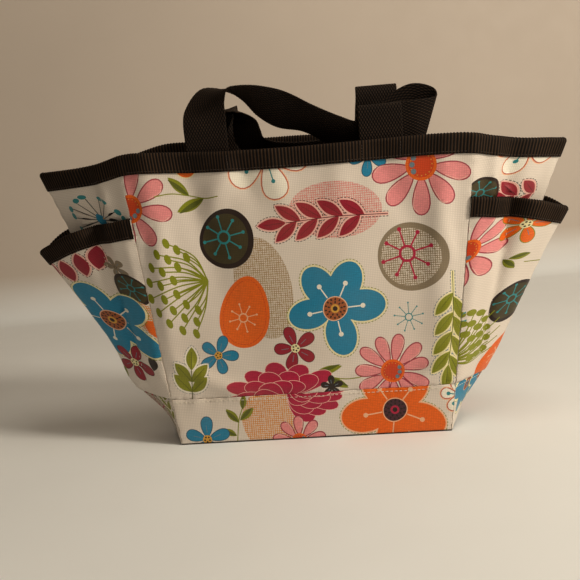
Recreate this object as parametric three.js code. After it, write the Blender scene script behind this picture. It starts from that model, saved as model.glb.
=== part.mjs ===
// Garden tool bag: a small coated-canvas tote that stands open on a flat base.
//
// Frame: millimetres, +Z up, origin on the ground under the middle of the bag.
// +X runs along the wide front, the front panel faces -Y and the back panel +Y.
//
// Every fabric piece is a thin closed solid built from two matching point grids, an outer
// face and an inner face. All walls share one six-cornered section: two front corners, two
// back corners, and a fold tip at each end where the side gusset folds outward.

import * as THREE from 'three';
import { mergeVertices } from 'three/addons/utils/BufferGeometryUtils.js';

// ---------------------------------------------------------------- driving dimensions

const BAG_HEIGHT = 254;
const BASE_WIDTH = 242;
const MOUTH_WIDTH = 308;
const BASE_DEPTH = 90;
const MOUTH_DEPTH = 78;

const BAND_HEIGHT = 42;
const FOLD_OUT_BASE = 14;
const FOLD_OUT_BAND = 30;
const FOLD_OUT_MOUTH = 83;
const FOLD_RISE = 15;

const CANVAS = 1.0;
const LINING_OUTER = 1.4;
const LINING_INNER = 2.0;
const GAP = 0.3;
const SEAM_GAP = 0.5;

const WEBBING_WIDTH = 38;
const WEBBING = 1.6;
const TAPE = 1.2;
const MOUTH_TAPE_DROP = 16;

const POCKET_TOP = 201;
const POCKET_TAPE_DROP = 16;
const POCKET_STANDOFF = 2.2;
const POCKET_FOOT_STANDOFF = 0.4;
const POCKET_TIP_REACH = 24;
const POCKET_BOW = 5;
const POCKET_DIVIDER = 0.25;
const POCKET_EASE = 20;
const POCKET_ABOVE_BAND = 1;

const STIFFENER = 2.5;
const STIFFENER_CLEAR_X = 4;
const STIFFENER_CLEAR_Y = 3;
const BASE_TIP_CLEAR = 1;
const BASE_LINING_CLEAR = 2.6;
const BASE_LINING_TIP_CLEAR = 5;
const BASE_LINING_TIP_RISE = 2.5;
const LINING_ABOVE_BASE = 5.5;
const LINING_BELOW_RIM = 2;
const HANDLE_SPACING = 150;
const HANDLE_TAB_BELOW_RIM = 32;
const HANDLE_AXIS_HEIGHT = 14;
const HANDLE_AXIS_CLEAR = 1.2;
const HANDLE_INSET = 4.6;

// ---------------------------------------------------------------- finishes

const finish = (color, roughness) => (
  new THREE.MeshStandardMaterial({ color, roughness, metalness: 0 })
);
const canvasFinish = finish('#d9cdb9', 0.5);
const liningFinish = finish('#1a120c', 0.85);
const webbingFinish = finish('#2a1c12', 0.8);
const baseFinish = finish('#2b2119', 0.85);
const boardFinish = finish('#3a3530', 0.9);

// ---------------------------------------------------------------- closed sheets

const bag = new THREE.Group();
const lerp = THREE.MathUtils.lerp;
const clamp01 = (value) => THREE.MathUtils.clamp(value, 0, 1);

// Volume enclosed by a triangle list, positive when the faces point out.
function signedVolume(points, triangles) {
  let volume = 0;
  for (const [a, b, c] of triangles) {
    volume += points[a].dot(points[b].clone().cross(points[c])) / 6;
  }
  return volume;
}

// Adds one named mesh from shared points and triangles, turned so that its faces point out.
function addMesh(name, points, triangles, material) {
  const flip = signedVolume(points, triangles) < 0;
  const positions = [];
  for (const [a, b, c] of triangles) {
    for (const index of flip ? [a, c, b] : [a, b, c]) {
      positions.push(...points[index].toArray());
    }
  }
  const geometry = new THREE.BufferGeometry();
  geometry.setAttribute('position', new THREE.Float32BufferAttribute(positions, 3));
  const merged = mergeVertices(geometry, 1e-4);
  merged.computeVertexNormals();
  const mesh = new THREE.Mesh(merged, material);
  mesh.name = name;
  bag.add(mesh);
  return mesh;
}

// Closes the space between an outer and an inner point set that share one triangulation.
function addSheet(name, outer, inner, sheetTriangles, material) {
  const count = outer.length;
  const triangles = [];
  const edges = new Map();
  for (const [a, b, c] of sheetTriangles) {
    triangles.push([a, b, c]);
    triangles.push([a + count, c + count, b + count]);
    for (const [from, to] of [[a, b], [b, c], [c, a]]) {
      const back = `${to},${from}`;
      if (edges.has(back)) edges.delete(back);
      else edges.set(`${from},${to}`, [from, to]);
    }
  }
  for (const [from, to] of edges.values()) {
    triangles.push([to, from, from + count]);
    triangles.push([to, from + count, to + count]);
  }
  return addMesh(name, [...outer, ...inner], triangles, material);
}

// Triangles of a grid with the given rows and columns of points.
function gridTriangles(rows, columns, closed = false) {
  const triangles = [];
  const last = closed ? columns : columns - 1;
  for (let row = 0; row < rows - 1; row += 1) {
    for (let column = 0; column < last; column += 1) {
      const next = (column + 1) % columns;
      const a = row * columns + column;
      const b = row * columns + next;
      triangles.push([a, b, b + columns]);
      triangles.push([a, b + columns, a + columns]);
    }
  }
  return triangles;
}

// ---------------------------------------------------------------- the section

const heightShare = (z) => z / BAG_HEIGHT;
const halfWidth = (z) => lerp(BASE_WIDTH, MOUTH_WIDTH, heightShare(z)) / 2;
const halfDepth = (z) => lerp(BASE_DEPTH, MOUTH_DEPTH, heightShare(z)) / 2;

function foldOut(z) {
  if (z < BAND_HEIGHT) {
    return lerp(FOLD_OUT_BASE, FOLD_OUT_BAND, clamp01((z - FOLD_RISE) / (BAND_HEIGHT - FOLD_RISE)));
  }
  return lerp(FOLD_OUT_BAND, FOLD_OUT_MOUTH, (z - BAND_HEIGHT) / (BAG_HEIGHT - BAND_HEIGHT));
}

// The right half of the section at height z, moved inward by inset: the front corner and the
// fold tip. Each corner moves along its own mitre so that neighbouring walls keep their gap.
function cornerAt(z, inset) {
  const out = foldOut(z);
  const depth = halfDepth(z);
  const sideAngle = Math.atan2(depth, out);
  const mitre = Math.tan(sideAngle / 2);
  return new THREE.Vector3(halfWidth(z) - inset * mitre, -depth + inset, z);
}

function tipAt(z, inset) {
  const out = foldOut(z);
  const sideAngle = Math.atan2(halfDepth(z), out);
  return new THREE.Vector3(halfWidth(z) + out - inset / Math.sin(sideAngle), 0, z);
}

// A point on the front wall; share runs from 0 at the left corner to 1 at the right corner.
function frontPoint(share, z, inset) {
  const corner = cornerAt(z, inset);
  const trimmed = corner.x - SEAM_GAP;
  return new THREE.Vector3(lerp(-trimmed, trimmed, share), corner.y, z);
}

// A point on the right gusset; share runs from 0 at the front corner, over the fold tip at
// one half, to 1 at the back corner.
function gussetPoint(share, z, inset) {
  const corner = cornerAt(z, inset);
  const tip = tipAt(z, inset);
  const length = corner.distanceTo(tip);
  const fromCorner = Math.min(share, 1 - share) * 2;
  const point = corner.clone().lerp(tip, lerp(SEAM_GAP / length, 1, fromCorner));
  if (share > 0.5) point.y = -point.y;
  return point;
}

const mirrorX = (point) => new THREE.Vector3(-point.x, point.y, point.z);
const mirrorY = (point) => new THREE.Vector3(point.x, -point.y, point.z);
const spread = (count, from = 0, to = 1) => (
  Array.from({ length: count }, (_, index) => lerp(from, to, index / (count - 1)))
);

// A wall through the given edges, lowest first, between an outer and an inner inset. An edge
// gives its height at each share, and place(share, z, inset) gives the surface.
function addWall(name, place, shares, edges, insets, material, turn) {
  const outer = [];
  const inner = [];
  for (const edge of edges) {
    for (const share of shares) {
      outer.push(turn(place(share, edge(share), insets[0])));
      inner.push(turn(place(share, edge(share), insets[1])));
    }
  }
  addSheet(name, outer, inner, gridTriangles(edges.length, shares.length), material);
}

// ---------------------------------------------------------------- panels, bands and linings

const keep = (point) => point;
const frontShares = spread(5);
const gussetShares = spread(17);
const level = (z) => () => z;
const risingEdge = (cornerZ, tipZ) => (share) => lerp(cornerZ, tipZ, 1 - Math.abs(2 * share - 1));

const panelBottom = BAND_HEIGHT + GAP;
const bandTop = BAND_HEIGHT - GAP;
const bandBottom = CANVAS + GAP * 2;
const liningTop = BAG_HEIGHT - LINING_BELOW_RIM;
const canvasInsets = [0, CANVAS];
const liningInsets = [LINING_OUTER, LINING_INNER];
const WALL_ROWS = 9;
const tapeLine = BAG_HEIGHT - MOUTH_TAPE_DROP;
const panelEdges = [...spread(WALL_ROWS, panelBottom, tapeLine), BAG_HEIGHT].map(level);
const liningUpperEdges = spread(WALL_ROWS, BAND_HEIGHT, liningTop).map(level);

for (const [side, turn] of [['front', keep], ['back', mirrorY]]) {
  addWall(`${side}_panel`, frontPoint, frontShares, panelEdges, canvasInsets, canvasFinish, turn);
  addWall(`${side}_band`, frontPoint, frontShares, [level(bandBottom), level(bandTop)],
    canvasInsets, canvasFinish, turn);
  addWall(`${side}_lining`, frontPoint, frontShares, [level(LINING_ABOVE_BASE), ...liningUpperEdges],
    liningInsets, liningFinish, turn);
}

for (const [side, turn] of [['right', keep], ['left', mirrorX]]) {
  addWall(`${side}_gusset`, gussetPoint, gussetShares, panelEdges, canvasInsets, canvasFinish,
    turn);
  addWall(`${side}_band`, gussetPoint, gussetShares,
    [risingEdge(bandBottom, bandBottom + FOLD_RISE), level(bandTop)],
    canvasInsets, canvasFinish, turn);
  addWall(`${side}_lining`, gussetPoint, gussetShares,
    [risingEdge(LINING_ABOVE_BASE, LINING_ABOVE_BASE + FOLD_RISE), ...liningUpperEdges],
    liningInsets, liningFinish, turn);
}

// ---------------------------------------------------------------- base

// A flat floor sheet whose two ends fold up to a point under each gusset.
function addFloorSheet(name, halfLength, halfAcross, tipX, tipZ, z, thickness, material) {
  const outer = [
    new THREE.Vector3(-halfLength, -halfAcross, z),
    new THREE.Vector3(halfLength, -halfAcross, z),
    new THREE.Vector3(halfLength, halfAcross, z),
    new THREE.Vector3(-halfLength, halfAcross, z),
    new THREE.Vector3(tipX, 0, tipZ),
    new THREE.Vector3(-tipX, 0, tipZ),
  ];
  const inner = outer.map((point) => point.clone().add(new THREE.Vector3(0, 0, thickness)));
  const triangles = [[0, 1, 2], [0, 2, 3], [1, 4, 2], [0, 3, 5]];
  addSheet(name, outer, inner, triangles, material);
}

const baseHalfLength = BASE_WIDTH / 2 - SEAM_GAP;
const baseHalfAcross = BASE_DEPTH / 2 - SEAM_GAP;
addFloorSheet('base_panel', baseHalfLength, baseHalfAcross,
  BASE_WIDTH / 2 + FOLD_OUT_BASE - BASE_TIP_CLEAR, FOLD_RISE, 0, CANVAS, baseFinish);

const stiffener = new THREE.Mesh(
  new THREE.BoxGeometry(
    BASE_WIDTH - 2 * STIFFENER_CLEAR_X,
    BASE_DEPTH - 2 * STIFFENER_CLEAR_Y,
    STIFFENER,
  ),
  boardFinish,
);
stiffener.name = 'base_stiffener';
stiffener.position.z = bandBottom + STIFFENER / 2;
bag.add(stiffener);

const liningFloor = bandBottom + STIFFENER + GAP;
addFloorSheet('base_lining', BASE_WIDTH / 2 - BASE_LINING_CLEAR, BASE_DEPTH / 2 - BASE_LINING_CLEAR,
  BASE_WIDTH / 2 + FOLD_OUT_BASE - BASE_LINING_TIP_CLEAR, FOLD_RISE + BASE_LINING_TIP_RISE,
  liningFloor, LINING_INNER - LINING_OUTER, liningFinish);

// ---------------------------------------------------------------- pockets

const pocketBottom = BAND_HEIGHT + POCKET_ABOVE_BAND;
const pocketRise = (z) => clamp01((z - pocketBottom) / (POCKET_TOP - pocketBottom));
const pocketStandoff = (z) => (
  lerp(POCKET_FOOT_STANDOFF, POCKET_STANDOFF, clamp01((z - pocketBottom) / POCKET_EASE))
);

// A point on the right pocket panel, extra millimetres outside the pocket's inner face. The
// panel is stitched down at two dividers; the wide middle stretch stands off the fold tip and
// the narrow stretches bow away from the gusset.
function pocketPoint(share, z, extra) {
  const point = gussetPoint(share, z, -pocketStandoff(z) - extra);
  const fromEnd = Math.min(share, 1 - share);
  const rise = pocketRise(z);
  const middle = fromEnd > POCKET_DIVIDER;
  const part = middle ? (fromEnd - POCKET_DIVIDER) / (0.5 - POCKET_DIVIDER) : fromEnd / POCKET_DIVIDER;
  if (middle) point.x += POCKET_TIP_REACH * rise * part;
  const bow = POCKET_BOW * rise * Math.sin(Math.PI * part);
  const side = Math.atan2(halfDepth(z), foldOut(z));
  const back = share > 0.5 ? 1 : -1;
  point.x += bow * Math.sin(side);
  point.y += back * bow * Math.cos(side);
  return point;
}

const POCKET_ROWS = 8;
const pocketShares = spread(33);
const pocketTapeLine = POCKET_TOP - POCKET_TAPE_DROP;
const pocketEdges = [...spread(POCKET_ROWS, pocketBottom, pocketTapeLine), POCKET_TOP].map(level);
for (const [side, turn] of [['right', keep], ['left', mirrorX]]) {
  addWall(`${side}_pocket`, pocketPoint, pocketShares, pocketEdges, [CANVAS, 0], canvasFinish, turn);
}

// ---------------------------------------------------------------- edge bindings

// A folded tape over an edge: an upside-down U, as wide outside as inside. place(share, z,
// inset) gives the edge's surface, faces gives the edge's outer and inner inset, and the
// sign tells which way the inset grows inward.
function addBinding(name, place, shares, closed, top, drop, faces, inward, turn) {
  const outside = faces[0] - inward * GAP;
  const inside = faces[1] + inward * GAP;
  const profile = [
    [outside - inward * TAPE, top - drop],
    [outside - inward * TAPE, top + GAP + TAPE],
    [inside + inward * TAPE, top + GAP + TAPE],
    [inside + inward * TAPE, top - drop],
    [inside, top - drop],
    [inside, top + GAP],
    [outside, top + GAP],
    [outside, top - drop],
  ];
  const points = [];
  for (const [inset, z] of profile) {
    for (const share of shares) points.push(turn(place(share, z, inset)));
  }
  const columns = shares.length;
  const rows = profile.length;
  const triangles = [];
  const last = closed ? columns : columns - 1;
  for (let row = 0; row < rows; row += 1) {
    const nextRow = (row + 1) % rows;
    for (let column = 0; column < last; column += 1) {
      const next = (column + 1) % columns;
      const a = row * columns + column;
      const b = row * columns + next;
      const c = nextRow * columns + next;
      const d = nextRow * columns + column;
      triangles.push([a, b, c]);
      triangles.push([a, c, d]);
    }
  }
  if (!closed) {
    for (const [column, reversed] of [[0, false], [columns - 1, true]]) {
      const corner = (row) => row * columns + column;
      const caps = [[0, 1, 7], [1, 6, 7], [1, 2, 6], [2, 5, 6], [2, 3, 5], [3, 4, 5]];
      for (const [a, b, c] of caps) {
        triangles.push(reversed ? [corner(a), corner(c), corner(b)] : [corner(a), corner(b), corner(c)]);
      }
    }
  }
  addMesh(name, points, triangles, webbingFinish);
}

// The whole rim as one closed path of six corners: share counts the corners in order.
function rimPoint(index, z, inset) {
  const corner = cornerAt(z, inset);
  const tip = tipAt(z, inset);
  const ring = [
    mirrorX(corner), corner, tip, mirrorY(corner), mirrorX(mirrorY(corner)), mirrorX(tip),
  ];
  const from = ring[Math.floor(index) % ring.length];
  const to = ring[(Math.floor(index) + 1) % ring.length];
  return from.clone().lerp(to, index % 1);
}

const RIM_STEPS = 48;
const rimShares = spread(RIM_STEPS + 1, 0, 6).slice(0, RIM_STEPS);
addBinding('mouth_binding', rimPoint, rimShares, true, BAG_HEIGHT, MOUTH_TAPE_DROP,
  [0, LINING_INNER], 1, keep);

for (const [side, turn] of [['right', keep], ['left', mirrorX]]) {
  addBinding(`${side}_pocket_binding`, pocketPoint, pocketShares, false, POCKET_TOP,
    POCKET_TAPE_DROP, [CANVAS, 0], -1, turn);
}

// ---------------------------------------------------------------- handles

const axisZ = BAG_HEIGHT + HANDLE_AXIS_HEIGHT;
const strapY = MOUTH_DEPTH / 2 - HANDLE_INSET;
const tabTop = axisZ - HANDLE_AXIS_CLEAR;
const tabBottom = BAG_HEIGHT - HANDLE_TAB_BELOW_RIM;
const loopStart = axisZ + HANDLE_AXIS_CLEAR;
const halfSpacing = HANDLE_SPACING / 2;
const halfWebbing = WEBBING_WIDTH / 2;

for (const [side, sign] of [['front', -1], ['back', 1]]) {
  for (const [hand, way] of [['left', -1], ['right', 1]]) {
    const tab = new THREE.Mesh(
      new THREE.BoxGeometry(WEBBING_WIDTH, WEBBING, tabTop - tabBottom),
      webbingFinish,
    );
    tab.name = `${side}_handle_${hand}_end`;
    tab.position.set(way * halfSpacing, sign * strapY, (tabTop + tabBottom) / 2);
    bag.add(tab);
  }
}

// A webbing loop through stations. Each station is the middle of the webbing and the arrow
// from there to its right-hand edge, so a station can turn, lean or fan round a fold.
function addLoop(name, stations, steps) {
  const middles = stations.map(([middle]) => new THREE.Vector3(...middle));
  const arrows = stations.map(([, arrow]) => new THREE.Vector3(...arrow));
  const middleCurve = new THREE.CatmullRomCurve3(middles, false, 'centripetal');
  const arrowCurve = new THREE.CatmullRomCurve3(arrows, false, 'catmullrom', 0.5);
  const outer = [];
  const inner = [];
  for (let step = 0; step <= steps; step += 1) {
    const along = step / steps;
    const middle = middleCurve.getPoint(along);
    const ahead = middleCurve.getTangent(along);
    const arrow = arrowCurve.getPoint(along).setLength(halfWebbing);
    const face = ahead.clone().cross(arrow).setLength(WEBBING / 2);
    for (const reach of [-1, 0, 1]) {
      const across = middle.clone().addScaledVector(arrow, reach);
      outer.push(across.clone().add(face));
      inner.push(across.clone().sub(face));
    }
  }
  addSheet(name, outer, inner, gridTriangles(steps + 1, 3), webbingFinish);
}

// The front handle stands up on the left, rolls over, slopes down to the right across the
// mouth, curls round past the right end and folds over into it.
addLoop('front_handle', [
  [[-halfSpacing, -strapY, loopStart], [19, 0, 0]],
  [[-75, -34.8, 284], [19, 0, 0]],
  [[-73.5, -34, 298], [18, -6, 1]],
  [[-66, -31, 308], [12, -14, -5]],
  [[-54, -27, 310], [3, -18.8, 0]],
  [[-42, -25, 306.5], [2, -18, 5]],
  [[-27, -23.5, 298], [4, -14, 12]],
  [[-10, -23, 290], [5, -11, 15]],
  [[12, -22.5, 281], [5, -14, 10.5]],
  [[34, -21, 269], [6, -12.5, 10]],
  [[50, -18.5, 260], [5, -10.5, 14.7]],
  [[67, -16.5, 260.5], [-5, -3, 18.1]],
  [[82, -13, 268.5], [-12, -1, 14.5]],
  [[96.5, -11.5, 280.5], [-11, 0, 15.5]],
  [[109, -12, 285], [-4, 0, 18.5]],
  [[118, -15.5, 280], [5, 0, 18.3]],
  [[118, -22, 273], [6, 0, 18]],
  [[108.5, -26, 270.5], [3, 0, 18.7]],
  [[97, -26.5, 269.5], [-1, 0, 19]],
  [[84, -26.5, 271.5], [9, 0, 16.5]],
  [[76.5, -27, 280], [17, 0, 8]],
  [[75, -29.5, 286.5], [19, 0, 1]],
  [[75, -33.2, 285.5], [19, 0, 0]],
  [[halfSpacing, -strapY, 278], [19, 0, 0]],
  [[halfSpacing, -strapY, loopStart], [19, 0, 0]],
], 88);

// The back handle rises and folds forward on the right, dips inside the mouth, and arches up
// again on the left before it turns down into its left end.
addLoop('back_handle', [
  [[halfSpacing, strapY, loopStart], [19, 0, 0]],
  [[halfSpacing, strapY, 285], [19, 0, 0]],
  [[75, 33, 300], [19, 0, 0]],
  [[75, 28.5, 306.5], [19, 0, 0]],
  [[75, 22.5, 303], [19, 0, 0]],
  [[74, 20.5, 290], [19, 0, 0]],
  [[70, 21, 272], [17.5, -5, 5]],
  [[58, 21.5, 258], [12, -9, 11.5]],
  [[38, 20.5, 249], [3, -10.5, 15.3]],
  [[12, 19, 247], [0, -12, 14.7]],
  [[-12, 18, 249], [1, -13, 13.8]],
  [[-27, 16.5, 253.5], [4, -14.5, 11.5]],
  [[-39, 16, 261], [10, -14.3, 7.5]],
  [[-44.5, 16.5, 271], [13.5, -12.8, 4]],
  [[-47, 17.5, 282], [12.5, -14, 2]],
  [[-51.5, 19.5, 292.5], [6, -18, -2]],
  [[-59, 22.5, 296.5], [-4, -18, -3]],
  [[-66.5, 27, 292], [-11.5, -15, 1.5]],
  [[-72.5, 31.5, 283], [-17, -8, 3]],
  [[-74.8, 33.8, 275], [-18.9, -1.5, 1]],
  [[-halfSpacing, strapY, loopStart], [-19, 0, 0]],
], 84);

export default bag;
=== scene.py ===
"""Garden tool bag: the looks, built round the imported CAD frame. Metres, +Z up, front at -Y."""

import math

import bmesh
import bpy
import numpy as np
from mathutils import Matrix, Vector
from mathutils.geometry import delaunay_2d_cdt


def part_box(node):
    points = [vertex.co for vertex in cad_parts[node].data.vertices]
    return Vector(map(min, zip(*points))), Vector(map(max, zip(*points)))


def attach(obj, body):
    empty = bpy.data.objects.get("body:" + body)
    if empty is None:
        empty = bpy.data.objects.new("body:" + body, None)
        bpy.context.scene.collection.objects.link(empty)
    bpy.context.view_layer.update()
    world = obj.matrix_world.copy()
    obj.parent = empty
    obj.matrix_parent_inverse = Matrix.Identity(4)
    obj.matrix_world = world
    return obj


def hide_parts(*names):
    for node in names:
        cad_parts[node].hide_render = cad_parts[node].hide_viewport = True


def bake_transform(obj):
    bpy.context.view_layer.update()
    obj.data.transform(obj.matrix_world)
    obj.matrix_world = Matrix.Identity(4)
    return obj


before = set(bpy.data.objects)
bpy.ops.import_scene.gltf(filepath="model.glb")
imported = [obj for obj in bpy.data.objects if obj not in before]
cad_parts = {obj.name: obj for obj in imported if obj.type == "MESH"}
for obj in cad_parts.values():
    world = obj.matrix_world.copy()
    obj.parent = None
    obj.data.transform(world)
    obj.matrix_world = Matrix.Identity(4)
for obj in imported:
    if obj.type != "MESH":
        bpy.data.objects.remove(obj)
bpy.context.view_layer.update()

MM = 0.001
TAU = 2 * math.pi
MIRROR = np.array([-1.0, 1.0, 1.0])

# ---- sizes, from the frame

SEAM_GAP = 0.5 * MM
BAND_GAP = 0.3 * MM
BAND_FOOT = 1.2 * MM
BAND_TIP_GAP = 0.2 * MM
BASE_TIP_GAP = 1 * MM
BOARD_GAP_X = 4 * MM
BOARD_GAP_Y = 3 * MM
TAPE_OUT = 1.5 * MM
CANVAS = 1.0 * MM
TAPE = 1.2 * MM


def low(node):
    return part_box(node)[0]


def high(node):
    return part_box(node)[1]


HEIGHT = high("front_panel").z
BAND = high("front_band").z + BAND_GAP
MOUTH_W = high("front_panel").x + SEAM_GAP
MOUTH_D = high("mouth_binding").y - TAPE_OUT
BASE_W = high("base_stiffener").x + BOARD_GAP_X
BASE_D = high("base_stiffener").y + BOARD_GAP_Y
FOLD_RISE = high("base_panel").z - CANVAS
TIP_BASE = high("base_panel").x + BASE_TIP_GAP - BASE_W
TIP_MOUTH = high("right_gusset").x - MOUTH_W
POCKET_TOP = high("right_pocket").z
POCKET_LOW = low("right_pocket").z
POCKET_TAPE = POCKET_TOP - low("right_pocket_binding").z
RIM_TAPE = HEIGHT - low("mouth_binding").z
WEB_W, WEB_T, _ = high("front_handle_left_end") - low("front_handle_left_end")
TAB_LOW = low("front_handle_left_end").z
TAB_X = (high("front_handle_right_end").x + low("front_handle_right_end").x) / 2


def lerp(a, b, t):
    return a + (b - a) * t


def ease(t):
    t = np.clip(t, 0, 1)
    return t * t * (3 - 2 * t)


def unit(v):
    """Vectors of length one, along the last axis."""
    return v / (np.linalg.norm(v, axis=-1, keepdims=True) + 1e-12)


def compass(degrees):
    """The cosine and sine of an angle in degrees."""
    return math.cos(math.radians(degrees)), math.sin(math.radians(degrees))


def distances(points):
    """How far along a line of points each of them lies."""
    return np.concatenate([[0], np.cumsum(np.linalg.norm(np.diff(points, axis=0), axis=1))])


def resample(at, run, table):
    """The table's rows at distances along its line."""
    return np.stack([np.interp(at, run, column) for column in table.T], -1)


def half_width(z):
    return lerp(BASE_W, MOUTH_W, z / HEIGHT)


def half_depth(z):
    return lerp(BASE_D, MOUTH_D, z / HEIGHT)


TIP_BAND = high("right_band").x - half_width(BAND) + BAND_TIP_GAP


def fold_out(z):
    """How far the gusset's fold stands out past the front corner at height z."""
    below = lerp(TIP_BASE, TIP_BAND, np.clip((z - FOLD_RISE) / (BAND - FOLD_RISE), 0, 1))
    above = lerp(TIP_BAND, TIP_MOUTH, (z - BAND) / (HEIGHT - BAND))
    return np.where(z < BAND, below, above)


# ---- walls

TIP_ROUND = 0.09
SIDE_DENT = 3.5 * MM
POCKET_DIVIDER = 0.25
LEFT_POCKET_REACH = 24 * MM
RIGHT_POCKET_REACH = 16 * MM
POCKET_BOW = 11 * MM
LEFT_POCKET_DROOP = 20 * MM
RIGHT_POCKET_DROOP = 11 * MM
LEFT_TIP_DROOP = 4 * MM
RIGHT_TIP_DROOP = 9 * MM
LEFT_FLARE = 8 * MM
FLARE_AT = 50 * MM
FLARE_SPAN = 24 * MM
FRONT_CROWN = 1.5 * MM

# The rim's waves in millimetres: across, rise.
FRONT_RIM = [(-200, 0), (-180, 1), (-163, 4.5), (-148, 7.5), (-128, 7), (-90, 4), (-45, 2.5), (0, 2), (45, 2.5),
             (90, 3.2), (125, 4), (150, 4), (170, 1.5), (200, -0.5)]
BACK_RIM = [(-220, 0), (-190, 3), (-160, 8), (-125, 15), (-80, 13), (-30, 13), (20, 12), (55, 6), (90, -2),
            (125, -8), (155, -8), (190, -3), (220, 0)]

# Soft folds in millimetres: across, height, turn in degrees, length, width, how far out. On the
# sides, across and width are shares of the way round, where a whole share counts as SIDE_SPAN.
SIDE_SPAN = 300.0
FRONT_FOLDS = [
    (-126, 196, 96, 74, 12, 4.6), (-88, 206, 102, 56, 13, -4.0), (-128, 112, 84, 62, 12, 3.0),
    (-66, 226, 62, 30, 10, 3.4), (-44, 232, 110, 22, 8, -2.0), (-16, 226, 100, 26, 10, 2.0),
    (36, 224, 84, 30, 12, 2.2), (84, 214, 112, 44, 12, -2.4), (122, 196, 82, 50, 9, 3.2),
    (118, 120, 88, 70, 13, 3.2), (108, 58, 34, 30, 7, 3.4), (82, 52, 12, 40, 6, -2.0),
    (-92, 60, 150, 36, 8, 2.8), (0, 130, 90, 90, 60, 4.0), (-40, 50, 178, 60, 6, 1.6),
    (30, 56, 8, 50, 7, 1.8), (-134, 180, 70, 30, 7, -2.0), (40, 150, 70, 60, 26, 2.2),
    (-60, 110, 110, 60, 24, -1.8), (128, 160, 100, 20, 5, 1.6), (-102, 44, 60, 16, 5, 1.6),
]
BACK_FOLDS = [
    (-100, 200, 78, 60, 11, 3.4), (-30, 220, 104, 34, 12, -2.2), (36, 120, 84, 90, 40, 4.0),
    (98, 206, 110, 44, 10, 3.2), (110, 80, 60, 40, 11, -2.4), (-94, 70, 120, 40, 10, 2.6),
    (0, 56, 176, 70, 8, 2.0), (66, 230, 84, 26, 9, 2.2),
]
SIDE_FOLDS = [
    (0.12, 220, 92, 42, 0.035, 4.4), (0.21, 226, 96, 36, 0.04, -3.4), (0.30, 205, 84, 44, 0.06, 2.8),
    (0.38, 160, 84, 70, 0.05, -2.2), (0.64, 210, 96, 50, 0.06, 3.0), (0.80, 190, 86, 60, 0.07, -2.8),
    (0.20, 120, 90, 50, 0.06, 2.4),
]


def soft_folds(folds, across, up, span=1.0):
    """How far the folds lift the cloth at a place."""
    lift = 0 * across
    for a, b, turn, length, width, height in folds:
        c, s = compass(turn)
        dx, dy = (across - a) * span, up - b
        along = (dx * c + dy * s) / length
        beside = (dy * c - dx * s) / (width * span)
        lift = lift + height * MM * np.exp(-along ** 2 - beside ** 2)
    return lift


def held_flat(share, z, z_from, reach):
    """0 at the sewn edges and seam, 1 where the cloth is free to fold."""
    return ease((z - z_from) / reach) * ease(np.minimum(share, 1 - share) / 0.05)


def front_wall(share, z, folds=FRONT_FOLDS):
    x = (share * 2 - 1) * half_width(z)
    crown = np.sin(np.pi * share) * np.sin(np.pi * np.clip(z / HEIGHT, 0, 1))
    lift = soft_folds(folds, x / MM, z / MM + 0 * x) * held_flat(share, z, BAND * 0.4, 20 * MM)
    return np.stack([x, -half_depth(z) - FRONT_CROWN * crown - lift, z + 0 * x], -1)


def back_wall(share, z):
    return front_wall(share, z, BACK_FOLDS) * np.array([-1.0, -1.0, 1.0])


def gusset_wall(share, z, out=0.0):
    """The right gusset: share 0 at the front corner, one half on the fold, 1 at the back."""
    c = np.abs(2 * share - 1)
    bend = math.sqrt(1 + TIP_ROUND ** 2) - TIP_ROUND
    sharp = 1 - (np.sqrt(c * c + TIP_ROUND ** 2) - TIP_ROUND) / bend
    lean = np.arctan2(half_depth(z), fold_out(z))
    dent = SIDE_DENT * np.sin(np.pi * np.clip((1 - c) * 1.35, 0, 1)) * np.clip((z - BAND) / HEIGHT, 0, 1)
    folds = soft_folds(SIDE_FOLDS, share + 0 * z, z / MM + 0 * share, SIDE_SPAN)
    dent = dent - out - folds * held_flat(share, z, BAND, 25 * MM)
    x = half_width(z) + fold_out(z) * sharp - dent * np.sin(lean)
    y = np.sign(share - 0.5) * (half_depth(z) * c - dent * np.cos(lean))
    return np.stack([x, y, z + 0 * x], -1)


def pocket_wall(share, z, droop=RIGHT_POCKET_DROOP, out=RIGHT_POCKET_REACH):
    """The right pocket, stitched to the gusset at its two ends and its two dividers."""
    rise = np.clip((z - POCKET_LOW) / (POCKET_TOP - POCKET_LOW), 0, 1.1)
    standoff = lerp(0.6 * MM, 2.4 * MM, np.clip((z - POCKET_LOW) / (20 * MM), 0, 1))
    from_end = np.minimum(share, 1 - share)
    p = gusset_wall(share, z, lerp(0.4 * MM, CANVAS + standoff, ease(from_end / 0.05)))
    middle = from_end > POCKET_DIVIDER
    part = np.where(middle, (from_end - POCKET_DIVIDER) / (0.5 - POCKET_DIVIDER), from_end / POCKET_DIVIDER)
    reach = np.where(middle, out * rise * ease(part) ** 0.8, 0)
    swell = (1 - np.exp(-part / 0.09)) * (1 - part ** 3) * 1.08
    bow = np.where(middle, POCKET_BOW * swell, POCKET_BOW * 0.3 * np.sin(np.pi * part)) * rise ** 0.6
    lean = np.arctan2(half_depth(z), fold_out(z))
    p[..., 0] += reach + bow * np.sin(lean)
    p[..., 1] += np.sign(share - 0.5) * bow * np.cos(lean)
    drop = np.where(share < 0.5, 0.4 * part ** 0.7 + 0.6 * ease(part), ease(part) ** 2.6)
    p[..., 2] -= droop * rise ** 2 * drop * middle
    return p


def left_pocket_wall(share, z):
    return pocket_wall(share, z, LEFT_POCKET_DROOP, LEFT_POCKET_REACH) * MIRROR


def left_wall(share, z):
    return gusset_wall(share, z) * MIRROR


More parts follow.
